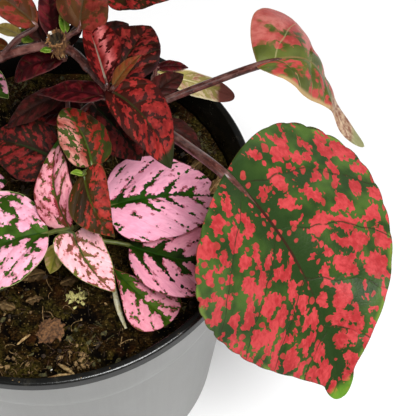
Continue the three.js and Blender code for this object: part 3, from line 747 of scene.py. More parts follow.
def leaf(at, base, tip, width, finish, **shape):
    """A leaf that grows from this point of its shoot's stem. What isn't given here is as in LEAF."""
    return {**LEAF, "at": at, "base": base, "tip": tip, "width": width, "finish": finish, **shape}


def small(at, base, tip, width, finish, **shape):
    return leaf(at, base, tip, width, finish, **{"stalk_rise": 0, **shape})


def leaf_axes(shape):
    """The leaf's base, length and three directions: along it, out of its face and across it."""
    base, tip = np.array(shape["base"], float), np.array(shape["tip"], float)
    length = np.linalg.norm(tip - base)
    along = (tip - base) / length
    face = np.array(shape["face"], float)
    face = unit(face - along * (face @ along))
    return base, length, along, face, np.cross(along, face)


def half_width(shape, t):
    """Half the blade's width at shares t of its length."""
    peak = shape["blunt"] / (shape["blunt"] + shape["sharp"])
    end = shape["tail_from"] + 0.1 if shape["tail"] else 1
    u = np.clip(t / end, 0, 1)
    share = (u / peak) ** shape["blunt"] * ((1 - u) / (1 - peak)) ** shape["sharp"]
    if shape["tail"]:
        v = np.clip((t - shape["tail_from"]) / (1 - shape["tail_from"]), 0, 1)
        share = np.hypot(share, shape["tail"] * np.sin(np.pi * v) ** TAIL_ROUND)
    return shape["width"] / 2 * share


def blade_points(shape, t, s, lift=0.0):
    """Points of the blade at shares t of its length and s of its half width, raised by lift."""
    base, length, along, face, side = leaf_axes(shape)
    turn = np.radians(shape["roll"] + shape["twist"] * (t - 0.5))[..., None]
    across = side * np.cos(turn) - face * np.sin(turn)
    normal = face * np.cos(turn) + side * np.sin(turn)
    x = s * half_width(shape, t) * (1 + shape["skew"] * np.sign(s))
    off = abs(x)
    rise = shape["fold"] * off - shape["curl"] * x * x / (shape["width"] / 2) + lift
    bow = 4 * t * (1 - t)
    droop = 6.75 * t * t * (1 - t)
    forward = length * t - shape["lobe"] * off * (1 - t) ** 2 + shape["shear"] * x
    return (
        base
        + along * forward[..., None]
        + face * (length * (shape["arch"] * bow + shape["nod"] * droop))[..., None]
        + side * (length * shape["sweep"] * bow)[..., None]
        + across * x[..., None]
        + normal * rise[..., None]
    )


def blade(heap, shape, seed):
    """A thin closed blade: two sheets that meet at its edge."""
    _, length, *_ = leaf_axes(shape)
    rows = int(26 + 1.15 * length)
    cols = 2 * int(7 + 0.36 * shape["width"])
    even = np.linspace(0, 1, rows + 1)
    t = (0.45 * even + 0.55 * (1 - np.cos(np.pi * even)) / 2)[:, None] * np.ones((1, cols + 1))
    s = np.linspace(-1, 1, cols + 1)[None, :] * np.ones((rows + 1, 1))
    margin = abs(s)
    bite = abs(np.sin(np.pi * shape["teeth"] * t + 0.7 * seed + (s > 0))) ** 0.55
    reach = s * (1 + shape["tooth"] * (bite - 0.65) * margin**8 * np.clip(12 * t * (1 - t), 0, 1) ** 0.5)

    half = half_width(shape, t)
    x = abs(reach * half)
    pitch = LATERAL_SHARE * length
    bowed = LATERAL_SLOPE * x + LATERAL_BOW * x * x / (shape["width"] / 2)
    station = (length * t - bowed) / pitch - FIRST_LATERAL / LATERAL_SHARE
    edge = (1 - margin) * half

    off_rib = np.clip(x / (0.1 * shape["width"]), 0, 1)
    pillow = abs(np.sin(np.pi * station)) ** 0.7 * off_rib * (1 - margin**4)
    ripple = np.sin(2 * np.pi * (2.6 * t + 0.17 * seed) + np.sign(s)) * margin**2 * np.sin(np.pi * t)
    groove = np.exp(-((x / (0.3 + 0.012 * shape["width"])) ** 2)) * (1 - t)
    size = min(shape["width"], 40)
    lift = size * (shape["pucker"] * pillow + shape["ripple"] * ripple) - 0.25 * groove
    depth = BLADE_THICKNESS * np.sqrt(np.clip(1 - margin**2, 0, 1)) * np.clip(20 * t * (1 - t), 0, 1) ** 0.5
    top = blade_points(shape, t, reach, lift)
    low = blade_points(shape, t, reach, lift - depth)

    points, faces, index = [], [], {}
    marks = {name: [] for name in Heap.MARKS}
    ends = (0, rows)

    def corner(a, b, sheet):
        if a in ends:
            key = (a,)
        elif b in (0, cols):
            key = (a, b)
        else:
            key = (a, b, sheet)
        if key not in index:
            index[key] = len(points)
            points.append((low if sheet else top)[a, b])
            marks["vein"].append((station[a, b], pitch, 0))
            marks["place"].append((reach[a, b] * half[a, b], length * t[a, b], edge[a, b]))
            marks["leaf"].append((t[a, b], sheet, shape["tone"]))
            marks["seed"].append((seed, shape["width"] / 2, 0))
        return index[key]

    for a in range(rows):
        for b in range(cols):
            for sheet in (0, 1):
                ring = [corner(a + i, b + j, sheet) for i, j in ((0, 0), (0, 1), (1, 1), (1, 0))]
                ring = [c for k, c in enumerate(ring) if c != ring[k - 1]]
                if len(ring) > 2:
                    faces.append(ring[::-1] if sheet else ring)
    heap.add(points, faces, shape["finish"], **marks)


def stalk(heap, shape, start, seed):
    """The leaf's stalk: it rises from the stem and runs on under the blade as its thinning rib."""
    _, length, *_ = leaf_axes(shape)
    thick = shape["stalk"]

    def under(t, depth):
        return blade_points(shape, np.array(float(t)), np.array(0.0), -depth)

    base = under(0, 0.75 * thick)
    gap = np.linalg.norm(base - start)
    middle = (start + base) / 2 + np.array([0, 0, shape["stalk_rise"] * gap])
    ribs = [under(t, RIB_DEPTH + thick * (1 - t) * (1 - shape["ridge"])) for t in RIB_SHARES]
    blade_share = gap / (gap + RIB_SHARES[-1] * length)

    def radius(share, gone):
        flare = 1 + 0.5 * math.exp(-gone / 1.2)
        over = max(share - blade_share, 0) / (1 - blade_share)
        return thick * flare * (1 - over) ** shape["rib_taper"] + RIB_END

    limb(heap, [start, middle, base, *ribs], radius, shape["stem"], per_span=5, seed=seed, bare=blade_share)


def rooted(x, y, rest):
    """A stem's points: its root in the soil, and the rest above it."""
    return [(x, y, SOIL_TOP + rise) for rise in (-ROOT_DEPTH, -ROOT_DEPTH / 2, STEM_START)] + list(rest)


SHOOTS = {
    "red_arching": dict(
        slot="red_leaf", thickness=1.3, finish="purple_stem",
        stem=rooted(-34, 4, [
            (-32, 6, 120), (-24, 10, 142), (-8, 13, 152), (8, 13, 156), (16, 5, 157), (21, -3, 157)]),
        leaves=[
            leaf(6, (14, 10, 166), (19, 28, 178), 14, "russet", blunt=0.38, sharp=1.2, shear=-0.17,
                 tone=0.86),
            small(6, (6.5, 14.5, 157), (5, 28, 166), 7, "plum", roll=15, tone=1.2),
            leaf(6, (20, 24, 162), (39, 22, 166), 11.6, "red", roll=7, blunt=0.5, sharp=0.75, tone=1.05),
            small(7, (17, 18, 152), (24.5, 26.5, 150), 8, "maroon"),
            leaf(6, (8, 14, 150), (-6, 13, 142), 7, "plum", roll=-25, arch=0.18, sharp=0.7, tone=1.2),
            small(5, (-4, 22, 150), (-13, 29, 146), 4.5, "straw"),
            small(5, (-8, 21.5, 146), (-18, 26, 142), 5, "bronze", tone=1.3),
            small(5, (0, 20, 150), (-7, 25.5, 148), 4.6, "lime", ripple=0.12),
            small(6, (2.6, 17, 153), (-2.5, 29, 154), 6, "maroon"),
            small(6, (10, 15, 154), (13, 23, 156), 4, "maroon", fold=0.35),
            small(6, (10, 13, 161), (9.2, 17, 166), 2.6, "lime", stalk=0.4),
            small(6, (6.2, 10.4, 157.6), (3.2, 10.2, 157.6), 2.2, "lime", stalk=0.3),
            leaf(5, (3, 13, 164), (-11, 19, 172), 10, "russet"),
            leaf(8, (21.3, -4.6, 162), (15.4, 13.4, 166), 9, "flushed", roll=-12, blunt=0.7, sharp=0.9,
                 fold=0.3, skew=0.38),
            leaf(8, (22.8, -0.8, 158.5), (31.3, 15.5, 161), 16, "ruby", roll=2, arch=0.12, sharp=0.86),
            leaf(8, (21, -4, 160), (37, -21, 150), 14, "red_tipped", sweep=-0.07, shear=0.36, skew=-0.13,
                 arch=0.12, sharp=0.85),
            leaf(8, (21, -5, 158), (2, 2, 150), 8.2, "plum", roll=5, sharp=1.1, tone=1.25),
            small(8, (23, -6, 163), (30, -2, 170), 4, "bronze", fold=0.3),
        ],
    ),
    "red_long": dict(
        slot="red_leaf", thickness=1.3, finish="purple_stem",
        stem=rooted(28, 8, [(29, 10, 112), (30, 12, 126), (30, 12.5, 132)]),
        leaves=[
            leaf(4, (50.3, -21.5, 149), (81.4, -59.4, 98), 59.5, "scarlet", twist=65, roll=8, arch=0,
                 sweep=-0.09, fold=0.15, curl=0.355, blunt=0.71, sharp=0.82, lobe=0.4, shear=0.195,
                 skew=-0.075, tail=0.155, tail_from=0.826, stalk=1.25, stalk_rise=0.01, teeth=15,
                 tooth=0.025, pucker=0.02, ripple=0.012, ridge=0.4, rib_taper=2.4),
            leaf(5, (58.9, 10.1, 152.2), (89.6, 4.6, 123.9), 27.7, "blush", tone=0.9, twist=12.4, roll=-1.4,
                 arch=0.307, nod=-0.291, sweep=-0.205, fold=-0.295, curl=0.072, blunt=0.737, sharp=1.278,
                 lobe=0.82, skew=-0.348, shear=-0.053, tail=0.238, tail_from=0.711, stalk=1,
                 stalk_rise=0.01, tooth=0.01, rib_taper=2.4),
            leaf(3, (30, 36, 118), (54, 31, 113), 9, "cream", arch=0.05, shear=0.11, sharp=0.5, skew=0.12),
            small(3, (30.5, 37.5, 119), (40, 38.6, 117.6), 4.4, "plum", tone=1.4),
            leaf(4, (30, 14, 134), (39, 24, 132), 7, "maroon", roll=11),
            leaf(3, (32, 14, 122), (44, 11, 114), 8.6, "maroon"),
        ],
    ),
    "red_left": dict(
        slot="red_leaf", thickness=1.1, finish="purple_stem",
        stem=rooted(4, 6, [(6, 4, 120), (9, 2, 138)]),
        leaves=[
            leaf(4, (8, 9, 142), (-9, 5, 132), 9, "maroon"),
            leaf(4, (15, 7, 140), (28, -6, 132), 16, "crimson"),
            leaf(3, (5.2, -3.5, 129), (-15, 5, 127), 18.4, "crimson", roll=-28, sharp=1.06, tone=1.1),
            leaf(4, (12, 6, 138), (0, 8, 132), 9, "plum", tone=1.15),
        ],
    ),
    "red_small": dict(
        slot="red_leaf", thickness=0.9, finish="green_stem",
        stem=rooted(13, -4, [(14, -8, 120), (15, -13, 137)]),
        leaves=[
            leaf(4, (16, -12, 138), (9, 1, 146), 14.2, "frosted", roll=19, blunt=0.36, sharp=0.6,
                 sweep=0.05, shear=-0.13, arch=0.12),
            leaf(4, (14, -14, 138), (22, -28, 129), 12.7, "mottled", blunt=0.45, sharp=1.1, sweep=0.11,
                 shear=0.4, lobe=0.12, tone=0.9),
            small(4, (14, -15, 139), (11, -16, 141), 2.2, "lime", stalk=0.4),
        ],
    ),
    "pink_front": dict(
        slot="pink_leaf", thickness=1.1, finish="green_stem",
        stem=rooted(4, -16, [(5, -19, 112), (7, -21, 121)]),
        leaves=[
            leaf(4, (9, -21, 122), (6, -2, 136), 15.3, "pink_flame", roll=-43, twist=14, sweep=-0.11,
                 shear=0.38, fold=0.22, sharp=1),
            leaf(4, (3, -21, 120), (-19, -30, 116), 29, "pink_bold", blunt=0.46, sharp=0.44, shear=-0.16,
                 skew=0.08, sweep=0.05, fold=0.16),
            leaf(4, (10, -22, 121), (21, -35, 112), 14.7, "pink_net", roll=-20, blunt=0.35, sharp=0.9,
                 sweep=0.1, shear=-0.25, lobe=0.35, curl=0),
            leaf(3, (18, -10, 116), (49, -7, 116), 28, "pink", tone=1.05, twist=-16, blunt=0.35,
                 sharp=0.5, fold=0.17, curl=0.17, shear=0.08),
            leaf(3, (24, -19, 110), (51, -26, 112), 21.5, "pink_lobed", tone=1.08, roll=12, blunt=0.35,
                 sharp=0.36, sweep=0.1, shear=0.17),
            leaf(3, (18.5, -23, 106), (35.7, -39, 102), 17.2, "pink_round", roll=-12, blunt=1.8,
                 sharp=0.54, sweep=0.05, tone=0.94),
            # Painted light: this bud lies in shade under the leaves above, and its tone lifts its colour.
            small(3, (5, -20, 112), (2, -26, 106), 6, "fading", tone=1.6),
        ],
    ),
}


# The shoots round the left and the back carry crossed pairs of leaves, larger on the side that leans out

DRAW_STEP = 16807
DRAW_RANGE = 2147483647
PAIR_HEIGHTS = (0.35, 0.6, 0.82, 1)
PAIR_SIZES = (1, 0.95, 0.75, 0.5)
STEM_BEND = 1.6
HEADING_SPREAD = 0.25
LENGTH_SPREAD = 0.1
OUTWARD_GAIN = 0.22
LOWEST_SLOPE = -18
SLOPE_STEP = 17
SLOPE_SPREAD = 8
STALK_CLIMB = 0.7
STALK_SHARE = 0.36
STALK_SHRINK = 0.05
BLADE_BREADTH = 0.6
ROLL_SPREAD = 12
PAIRED_LEAF = dict(sharp=0.85, arch=0.12, lobe=0.15)


def dice(seed):
    """A function that draws the same row of numbers each time, each from minus to plus the spread given."""
    state = seed

    def roll(spread):
        nonlocal state
        state = state * DRAW_STEP % DRAW_RANGE
        return spread * (2 * state / DRAW_RANGE - 1)

    return roll


def direction(heading, climb):
    """A unit vector with this heading, climbing at this angle."""
    return np.array([*polar(math.cos(climb), heading), math.sin(climb)])


def paired_shoot(seed, slot, kinds, stem_kind, root, top, size):
    """A leaning shoot with a pair of leaves at each of its four levels."""
    roll = dice(seed)
    x, y = root
    start = SOIL_TOP + STEM_START
    leaning = math.atan2(top[1] - y, top[0] - x)
    path = []
    for share in PAIR_HEIGHTS:
        bent = share**STEM_BEND
        path.append((x + (top[0] - x) * bent, y + (top[1] - y) * bent, start + (top[2] - start) * share))
    leaves = []
    for level, point in enumerate(path):
        for opposite in (0, math.pi):
            heading = leaning + math.pi * (0.25 + 0.5 * level) + opposite + roll(HEADING_SPREAD)
            outward = 1 - OUTWARD_GAIN + OUTWARD_GAIN * math.cos(heading - leaning)
            length = size * PAIR_SIZES[level] * outward * (1 + roll(LENGTH_SPREAD))
            slope = math.radians(LOWEST_SLOPE + SLOPE_STEP * level + roll(SLOPE_SPREAD))
            gap = (STALK_SHARE - STALK_SHRINK * level) * length
            base = np.array(point) + direction(heading, STALK_CLIMB) * gap
            tip = base + direction(heading, slope) * length
            kind = kinds[len(leaves) % len(kinds)]
            turned = dict(PAIRED_LEAF, roll=roll(ROLL_SPREAD), stem=stem_kind)
            leaves.append(small(3 + level, base, tip, BLADE_BREADTH * length, kind, **turned))
    return dict(slot=slot, thickness=1.1, finish=stem_kind, stem=rooted(x, y, path), leaves=leaves)


PINKS = ("pink", "pink_bold", "pink_lobed")
REDS = ("red", "crimson", "red", "ruby")
DARK_REDS = ("crimson", "ruby", "plum", "red")
OLIVES = ("bronze", "russet", "mottled")

# Seed, slot, the leaves' looks, the stem's finish, the stem's foot and top, and the size of its largest leaf
PAIRED_SHOOTS = {
    "pink_left": (2, "pink_leaf", PINKS, "green_stem", (-34, -14), (-50, -26, 126), 30),
    "red_side": (4, "red_leaf", REDS, "purple_stem", (-48, 12), (-74, 20, 146), 33),
    "red_front": (1, "red_leaf", REDS, "purple_stem", (-24, -42), (-42, -66, 136), 31),
    "red_back": (2, "red_leaf", DARK_REDS, "purple_stem", (-41, 27), (-70, 42, 150), 32),
    "pink_back": (2, "pink_leaf", PINKS, "green_stem", (-29, 40), (-41, 68, 132), 27),
    "olive_tall": (28, "olive_leaf", OLIVES, "purple_stem", (-26, 22), (-37, 24, 168), 23),
}
for name, values in PAIRED_SHOOTS.items():
    SHOOTS[name] = paired_shoot(*values)
SHOOTS["pink_left"]["leaves"].append(small(3, (-29, -2, 113), (-12, 2, 110), 15, "pink", stem="green_stem"))
PINK_SURFACE = dict(pucker=0.022, ripple=0.014, tooth=0.01)
for name, shoot in SHOOTS.items():
    for shape in shoot["leaves"]:
        if shape["finish"].startswith("pink"):
            shape.update(PINK_SURFACE)
        if name in ("pink_front", "red_small"):
            shape["stem"] = "green_stem"


def make_shoot(name, shoot, number):
    """The shoot's leaves and its stems: two pieces in place of one node of the frame."""
    leaves, stems = Heap(), Heap()
    points = [np.array(p, float) for p in shoot["stem"]]
    knots = np.concatenate([[0], np.cumsum([np.linalg.norm(b - a) for a, b in zip(points, points[1:])])])

    def radius(share, gone):
        swelling = sum(math.exp(-(((gone - knot) / NODE_REACH) ** 2)) for knot in knots[3:])
        return shoot["thickness"] * (1.08 - 0.2 * share) * (1 + NODE_SWELL * swelling)

    limb(stems, points, radius, shoot["finish"], sides=STEM_SIDES, per_span=12, seed=number)
    for order, shape in enumerate(shoot["leaves"]):
        seed = number + 0.137 * order + 0.05
        blade(leaves, shape, seed)
        stalk(stems, shape, points[shape["at"]], seed)
    leaves.piece("leaves_" + name, shoot["slot"], ["shoot_" + name])
    stems.piece("stems_" + name, shoot["slot"], ["shoot_" + name])


# Soil


def soil_height(x, y):
    """The smooth soil of the frame's pot."""
    swell = SWELL_HEIGHT * math.sin(x / 13 + 1.2) * math.cos(y / 17 - 0.4)
    lumps = LUMP_HEIGHT * math.sin(x / 5.3 + y / 7.1) * math.sin(y / 4.7 - 0.6)
    return SOIL_TOP + swell + lumps


def wall_radius(z):
    return FOOT_RADIUS + (SHOULDER_RADIUS - FOOT_RADIUS) * z / (POT_HEIGHT - LIP_HEIGHT)


def clods(x, y, size, seed):
    """Rounded lumps with cracks between them, 0 to 1."""
    nearest = noise.voronoi(Vector((x / size, y / size, seed)))[0][0]
    return 1 - min(nearest, 1)


def soil_relief(x, y):
    """How far the fine surface stands off the smooth soil, in millimetres."""
    rough = noise.fractal(Vector((x / ROUGH_SIZE, y / ROUGH_SIZE, 3)), 0.8, 2.1, 5)
    from_chip = math.hypot(x - CHIP_PLACE[0], y - CHIP_PLACE[1])
    dent = CHIP_DENT * math.exp(-((from_chip / DENT_REACH) ** 2))
    coarse = CLOD_HEIGHT * (clods(x, y, CLOD_SIZE, 1) - 0.45)
    fine = SMALL_CLOD_HEIGHT * (clods(x, y, SMALL_CLOD_SIZE, 5) - 0.4)
    return coarse + fine + ROUGH_HEIGHT * rough - SOIL_SINK - dent


def on_soil(x, y, lift=0.0):
    return np.array([x, y, soil_height(x, y) + lift])


def scatter(rng, reach):
    """A random place within this reach of the pot's middle."""
    return polar(reach * math.sqrt(rng.random()), rng.uniform(0, FULL_TURN))


def soil_finish():
    """Damp peat, with painted shade in its hollows, brown fibres on the lumps and a thin green coat of moss
    in places.
    """
    s = Shader("soil_peat")
    x, y, high = s.mark("place")
    at = s.vector(x, y)
    fibre = s.noise(s.vector(x * 0.5, y * 1.6, 4.0), 0.8, 4.0, 0.65)
    crossing = s.noise(s.vector(x * 1.7, y * 0.45, 9.0), 0.8, 3.0, 0.6)
    grit = s.noise(at, 0.9, 5.0, 0.7)
    film_and_painted_sheen = s.band(s.noise(at, 9.0), 0.44, 0.6)
    brown = s.mix(s.band(fibre * 0.5 + grit * 0.5, 0.42, 0.64), srgb(10, 5, 1), srgb(70, 47, 18))
    mossy = s.mix(s.band(grit, 0.38, 0.64), srgb(12, 9, 1), srgb(84, 74, 28))
    rusty = s.band(s.noise(at, 7.0, 1.0), 0.6, 0.7)
    strands = s.band(fibre, 0.6, 0.68) + s.band(crossing, 0.62, 0.7)
    specks = s.band(s.cells(at, 1.7, "Distance"), 0.1, 0.05)
    colour = s.mix(film_and_painted_sheen * 0.8, brown, mossy)
    colour = s.mix(rusty * 0.35, colour, srgb(80, 42, 18))
    colour = s.mix(strands * 0.4, colour, srgb(116, 94, 50))
    # Painted shade: the soil turns black where its relief sinks into a hollow.
    colour = s.mix(s.band(high, 0.1, -1.6), colour, srgb(6, 3, 1))
    colour = s.mix(specks * 0.6, colour, srgb(150, 128, 84))
    s.bump(grit * 1.4 + fibre, 0.7 * MM)
    s.set(Base_Color=colour, Roughness=s.band(grit, 1.4, 0.0), IOR=1.4, Specular_IOR_Level=0.08)
    return s.material


finishes["peat"] = soil_finish()


def disc(cells):
    """A square grid bent into a round one with even cells: x and y, each from -1 to 1."""
    a, b = np.meshgrid(np.linspace(-1, 1, cells + 1), np.linspace(-1, 1, cells + 1))
    wide = abs(a) > abs(b)
    radius = np.where(wide, a, b)
    with np.errstate(divide="ignore", invalid="ignore"):
        angle = np.where(wide, math.pi / 4 * b / a, math.pi / 2 - math.pi / 4 * a / b)
    angle = np.nan_to_num(angle)
    return radius * np.cos(angle), radius * np.sin(angle)


def make_soil():
    """A lumpy round surface, with a plain skirt below it that fills the pot."""
    reach = wall_radius(SOIL_TOP) - WALL - SOIL_GAP
    unit_x, unit_y = disc(SOIL_CELLS)
    points, places = [], []
    for x, y in zip((unit_x * reach).ravel(), (unit_y * reach).ravel()):
        inner = min(1, (reach - math.hypot(x, y)) / 2)
        relief = soil_relief(x, y) * (0.3 + 0.7 * inner)
        points.append((x, y, soil_height(x, y) + relief))
        places.append((x, y, relief))
    side = SOIL_CELLS + 1
    corners = [j * side + i for j in range(SOIL_CELLS) for i in range(SOIL_CELLS)]
    faces = [[corner, corner + 1, corner + side + 1, corner + side] for corner in corners]
    last = SOIL_CELLS * side
    border = [i for i in range(side)] + [j * side + side - 1 for j in range(1, side)]
    border += [last + i for i in range(side - 2, -1, -1)] + [j * side for j in range(side - 2, 0, -1)]
    ring = border
    for depth in range(1, SKIRT_RINGS + 1):
        z = (SOIL_TOP - SKIRT_START) * (1 - depth / SKIRT_RINGS) + (FLOOR + SOIL_GAP) * depth / SKIRT_RINGS
        radius = wall_radius(z) - WALL - SOIL_GAP - (SKIRT_BEVEL if depth == SKIRT_RINGS else 0)
        lower = []
        for corner in border:
            x, y, _ = points[corner]
            grown = radius / math.hypot(x, y)
            lower.append(len(points))
            points.append((x * grown, y * grown, z))
            places.append((x * grown, y * grown + z, 0.0))
        for k in range(len(ring)):
            after = (k + 1) % len(ring)
            faces.append([ring[after], ring[k], lower[k], lower[after]])
        ring = lower
    faces.append(ring[::-1])
    heap = Heap()
    heap.add(points, faces, "peat", place=places)
    heap.piece("soil_surface", "soil", ["soil"], corner=80)


def ball(level):
    """Directions and faces of an icosphere."""
    body = bmesh.new()
    bmesh.ops.create_icosphere(body, subdivisions=level, radius=1)
    made = [v.co.copy() for v in body.verts], [[v.index for v in f.verts] for f in body.faces]
    body.free()
    return made


BALLS = {level: ball(level) for level in (1, 2)}


def pebble(heap, centre, size, squash, turn, finish, rng, detail=1):
    """A rough closed crumb."""
    directions, faces = BALLS[detail]
    shift = Vector((rng.uniform(0, 99), rng.uniform(0, 99), rng.uniform(0, 99)))
    cos, sin = math.cos(turn), math.sin(turn)
    places = []
    for direction in directions:
        bulge = 1 + 0.7 * noise.noise(direction * 1.5 + shift) + 0.4 * noise.noise(direction * 3.7 + shift)
        x, y, z = direction * size * bulge
        x, y = x * squash[0], y * squash[1]
        places.append((centre[0] + x * cos - y * sin, centre[1] + x * sin + y * cos, z * squash[2]))
    points = [(x, y, centre[2] + z) for x, y, z in places]
    heap.add(points, faces, finish, place=places, seed=(rng.random(), 0, 0))


CRUMB_COLOURS = {
    "crumb_peat": ((14, 8, 3), (58, 40, 20)),
    "crumb_moss": ((26, 24, 8), (92, 86, 42)),
    "crumb_rust": ((36, 20, 9), (84, 54, 30)),
    "crumb_tan": ((84, 62, 32), (156, 126, 80)),
    "crumb_pale": ((196, 190, 176), (240, 236, 226)),
    "crumb_lichen": ((150, 142, 74), (222, 214, 140)),
}
for name, (dark, pale) in CRUMB_COLOURS.items():
    finishes[name] = plain_finish(name, dark, pale, size=0.7, roughness=0.85, depth=0.25)

# How many crumbs, their smallest and largest size, and what they may be made of
CRUMBS = (
    (1000, 0.4, 1.1, ("peat", "peat", "peat", "crumb_peat", "crumb_moss")),
    (220, 1.0, 2.2, ("peat",)),
    (100, 0.25, 0.5, ("crumb_tan",)),
    (20, 0.2, 0.42, ("crumb_pale",)),
)
CRUMB_INSET = 4
RIM_CRUMBS = 16
FIBRES = 320
FIBRE_INSET = 6
FIBRE_STUFFS = ("crumb_peat", "crumb_rust", "crumb_tan", "crumb_tan")


def make_crumbs():
    """Loose crumbs on the soil, and a little dust on the near side of the rim."""
    rng = random.Random(11)
    heap = Heap()
    for count, low, high, kinds in CRUMBS:
        for _ in range(count):
            x, y = scatter(rng, wall_radius(SOIL_TOP) - CRUMB_INSET)
            size = rng.uniform(low, high)
            centre = on_soil(x, y, soil_relief(x, y) + 0.15 * size)
            squash = (rng.uniform(0.8, 1.5), rng.uniform(0.6, 1), rng.uniform(0.5, 0.8))
            turn = rng.uniform(0, 6.3)
            pebble(heap, centre, size, squash, turn, rng.choice(kinds), rng, 2 if size > 1 else 1)
    for _ in range(RIM_CRUMBS):
        angle = rng.uniform(-2.2, -0.3)
        centre = (*polar(RIM_RADIUS - rng.uniform(0.7, 1.9), angle), POT_HEIGHT + 0.05)
        pebble(heap, centre, rng.uniform(0.1, 0.2), (1, 1, 0.6), 0, "crumb_tan", rng)
    heap.piece("soil_crumbs", "soil")


def make_fibres():
    """Crooked fibres that lie on the soil with their ends in it."""
    rng = random.Random(5)
    heap = Heap()
    reach = wall_radius(SOIL_TOP) - FIBRE_INSET
    for _ in range(FIBRES):
        x, y = scatter(rng, reach)
        heading, length = rng.uniform(0, FULL_TURN), rng.uniform(2, 7)
        route = []
        for k in range(4):
            if math.hypot(x, y) < reach + 1.5:
                sunk = 0.5 if k in (0, 3) else 0
                route.append(on_soil(x, y, soil_relief(x, y) + rng.uniform(0, 0.7) - sunk))
            heading += rng.uniform(-0.7, 0.7)
            x += length / 3 * math.cos(heading)
            y += length / 3 * math.sin(heading)
        if len(route) > 2:
            thick = rng.uniform(0.05, 0.13)
            limb(heap, route, thick, rng.choice(FIBRE_STUFFS), sides=FIBRE_SIDES, per_span=3)
    heap.piece("soil_fibres", "soil")


# Pot

# How far in from the foot's radius each of the lowest rings is, and its height
FOOT_RINGS = ((6, 0), (5.4, 0.4), (4, 0.4), (3.4, 0), (1.6, 0), (0.7, 0.25))


def pot_profile():
    """Radius and height of each ring, from the foot over the rim to the floor, and the first black ring."""
    collar = POT_HEIGHT - COLLAR_DROP
    shoulder = POT_HEIGHT - LIP_HEIGHT
    outside = wall_radius(shoulder)
    points = [(FOOT_RADIUS - inset, z) for inset, z in FOOT_RINGS] + [(wall_radius(1.2), 1.2)]
    points += [(wall_radius(z), z) for z in np.linspace(4, collar - 1, 12)]
    for share in (0, 0.5, 1):
        points.append((wall_radius(collar) + COLLAR_STEP * share, collar + COLLAR_RISE * share))
    points += [(wall_radius(z) + COLLAR_STEP, z) for z in np.linspace(collar + 3, shoulder - 1.2, 6)]
    points += [(outside + COLLAR_STEP + 0.2, shoulder - 0.5), (RIM_RADIUS - 0.8, shoulder - 0.1)]
    points += [(RIM_RADIUS - 0.2, shoulder + 0.2), (RIM_RADIUS, shoulder + 0.7)]
    black_from = len(points)
    black = POT_HEIGHT - BLACK_DEPTH
    points += [(RIM_RADIUS, black + 0.05), (RIM_RADIUS - 0.06, black + 0.2)]
    for k in range(1, 6):
        across, up = polar(OUTER_ROUND, math.pi / 2 * k / 5)
        points.append((RIM_RADIUS - OUTER_ROUND + across, POT_HEIGHT - OUTER_ROUND + up))
    for k in range(5):
        up, across = polar(INNER_ROUND, math.pi / 2 * k / 4)
        points.append((RIM_RADIUS - RIM_WIDTH + INNER_ROUND - across, POT_HEIGHT - INNER_ROUND + up))
    points += [(outside - WALL + 0.5, shoulder + 0.6), (outside - WALL + 0.2, shoulder - 0.6)]
    points += [(wall_radius(z) - WALL, z) for z in np.linspace(shoulder - 2, 4, 10)]
    return points + [(FOOT_RADIUS - 3, FLOOR)], black_from


def pot_grey_finish():
    """Satin moulded plastic with faint upright streaks, clouding and light scuffs."""
    s = Shader("pot_grey")
    where = s.node("TexCoord", "Object")
    x, y, z = s.split(where)
    turn = s.math("ARCTAN2", y, x)
    streaks = s.noise(s.vector(turn * 30.0, z * 12.0), 1.0, 3.0, 0.6)
    scuffs = s.noise(s.vector(turn * 60.0, z * 420.0, 2.0), 1.0, 4.0, 0.7)
    sized = s.scale(where, 1 / MM)
    cloud = s.noise(sized, 16.0, 3.0)
    colour = s.mix(s.band(streaks, 0.3, 0.7), srgb(89, 89, 85), srgb(95, 95, 91))
    colour = s.mix(s.band(cloud, 0.4, 0.7) * 0.5, colour, srgb(104, 104, 99))
    colour = s.mix(s.band(scuffs, 0.66, 0.8) * 0.35, colour, srgb(86, 86, 82))
    s.bump(s.noise(sized, 0.45) + streaks, 0.04 * MM)
    s.set(Base_Color=colour, Roughness=cloud * 0.2 + 0.34, IOR=1.49, Coat_Weight=0.5, Coat_Roughness=0.3)
    return s.material


def pot_black_finish():
    """Glossy black plastic with a little dust, and painted shade that darkens it further down inside the pot.
    """
    s = Shader("pot_black")
    sized = s.scale(s.node("TexCoord", "Object"), 1 / MM)
    _, _, high = s.split(sized)
    dust = s.noise(sized, 3.0, 4.0, 0.65)
    colour = s.mix(s.band(dust, 0.5, 0.75), srgb(15, 15, 13), srgb(36, 34, 28))
    # Painted shade: the black turns darker below the rim, inside the pot.
    colour = s.mix(s.band(high, POT_HEIGHT - 2, POT_HEIGHT - 7), colour, srgb(7, 6, 5))
    s.bump(s.noise(sized, 0.4), 0.04 * MM)
    s.set(Base_Color=colour, Roughness=dust * 0.24 + 0.12, IOR=1.5)
    return s.material


finishes["pot_grey"] = pot_grey_finish()
finishes["pot_black"] = pot_black_finish()


def drain_cutters():
    """Cylinders where the drain holes go."""
    heap = Heap()
    for hole in range(DRAIN_HOLES):
        x, y = polar(DRAIN_CIRCLE, FULL_TURN * hole / DRAIN_HOLES + DRAIN_TURN)
        route = [(x, y, z) for z in (-2, FLOOR / 2, FLOOR + 0.2)]
        limb(heap, route, DRAIN_RADIUS, "pot_black", sides=32, per_span=1)
    return link("drain_cutters", heap.mesh("drain_cutters"))


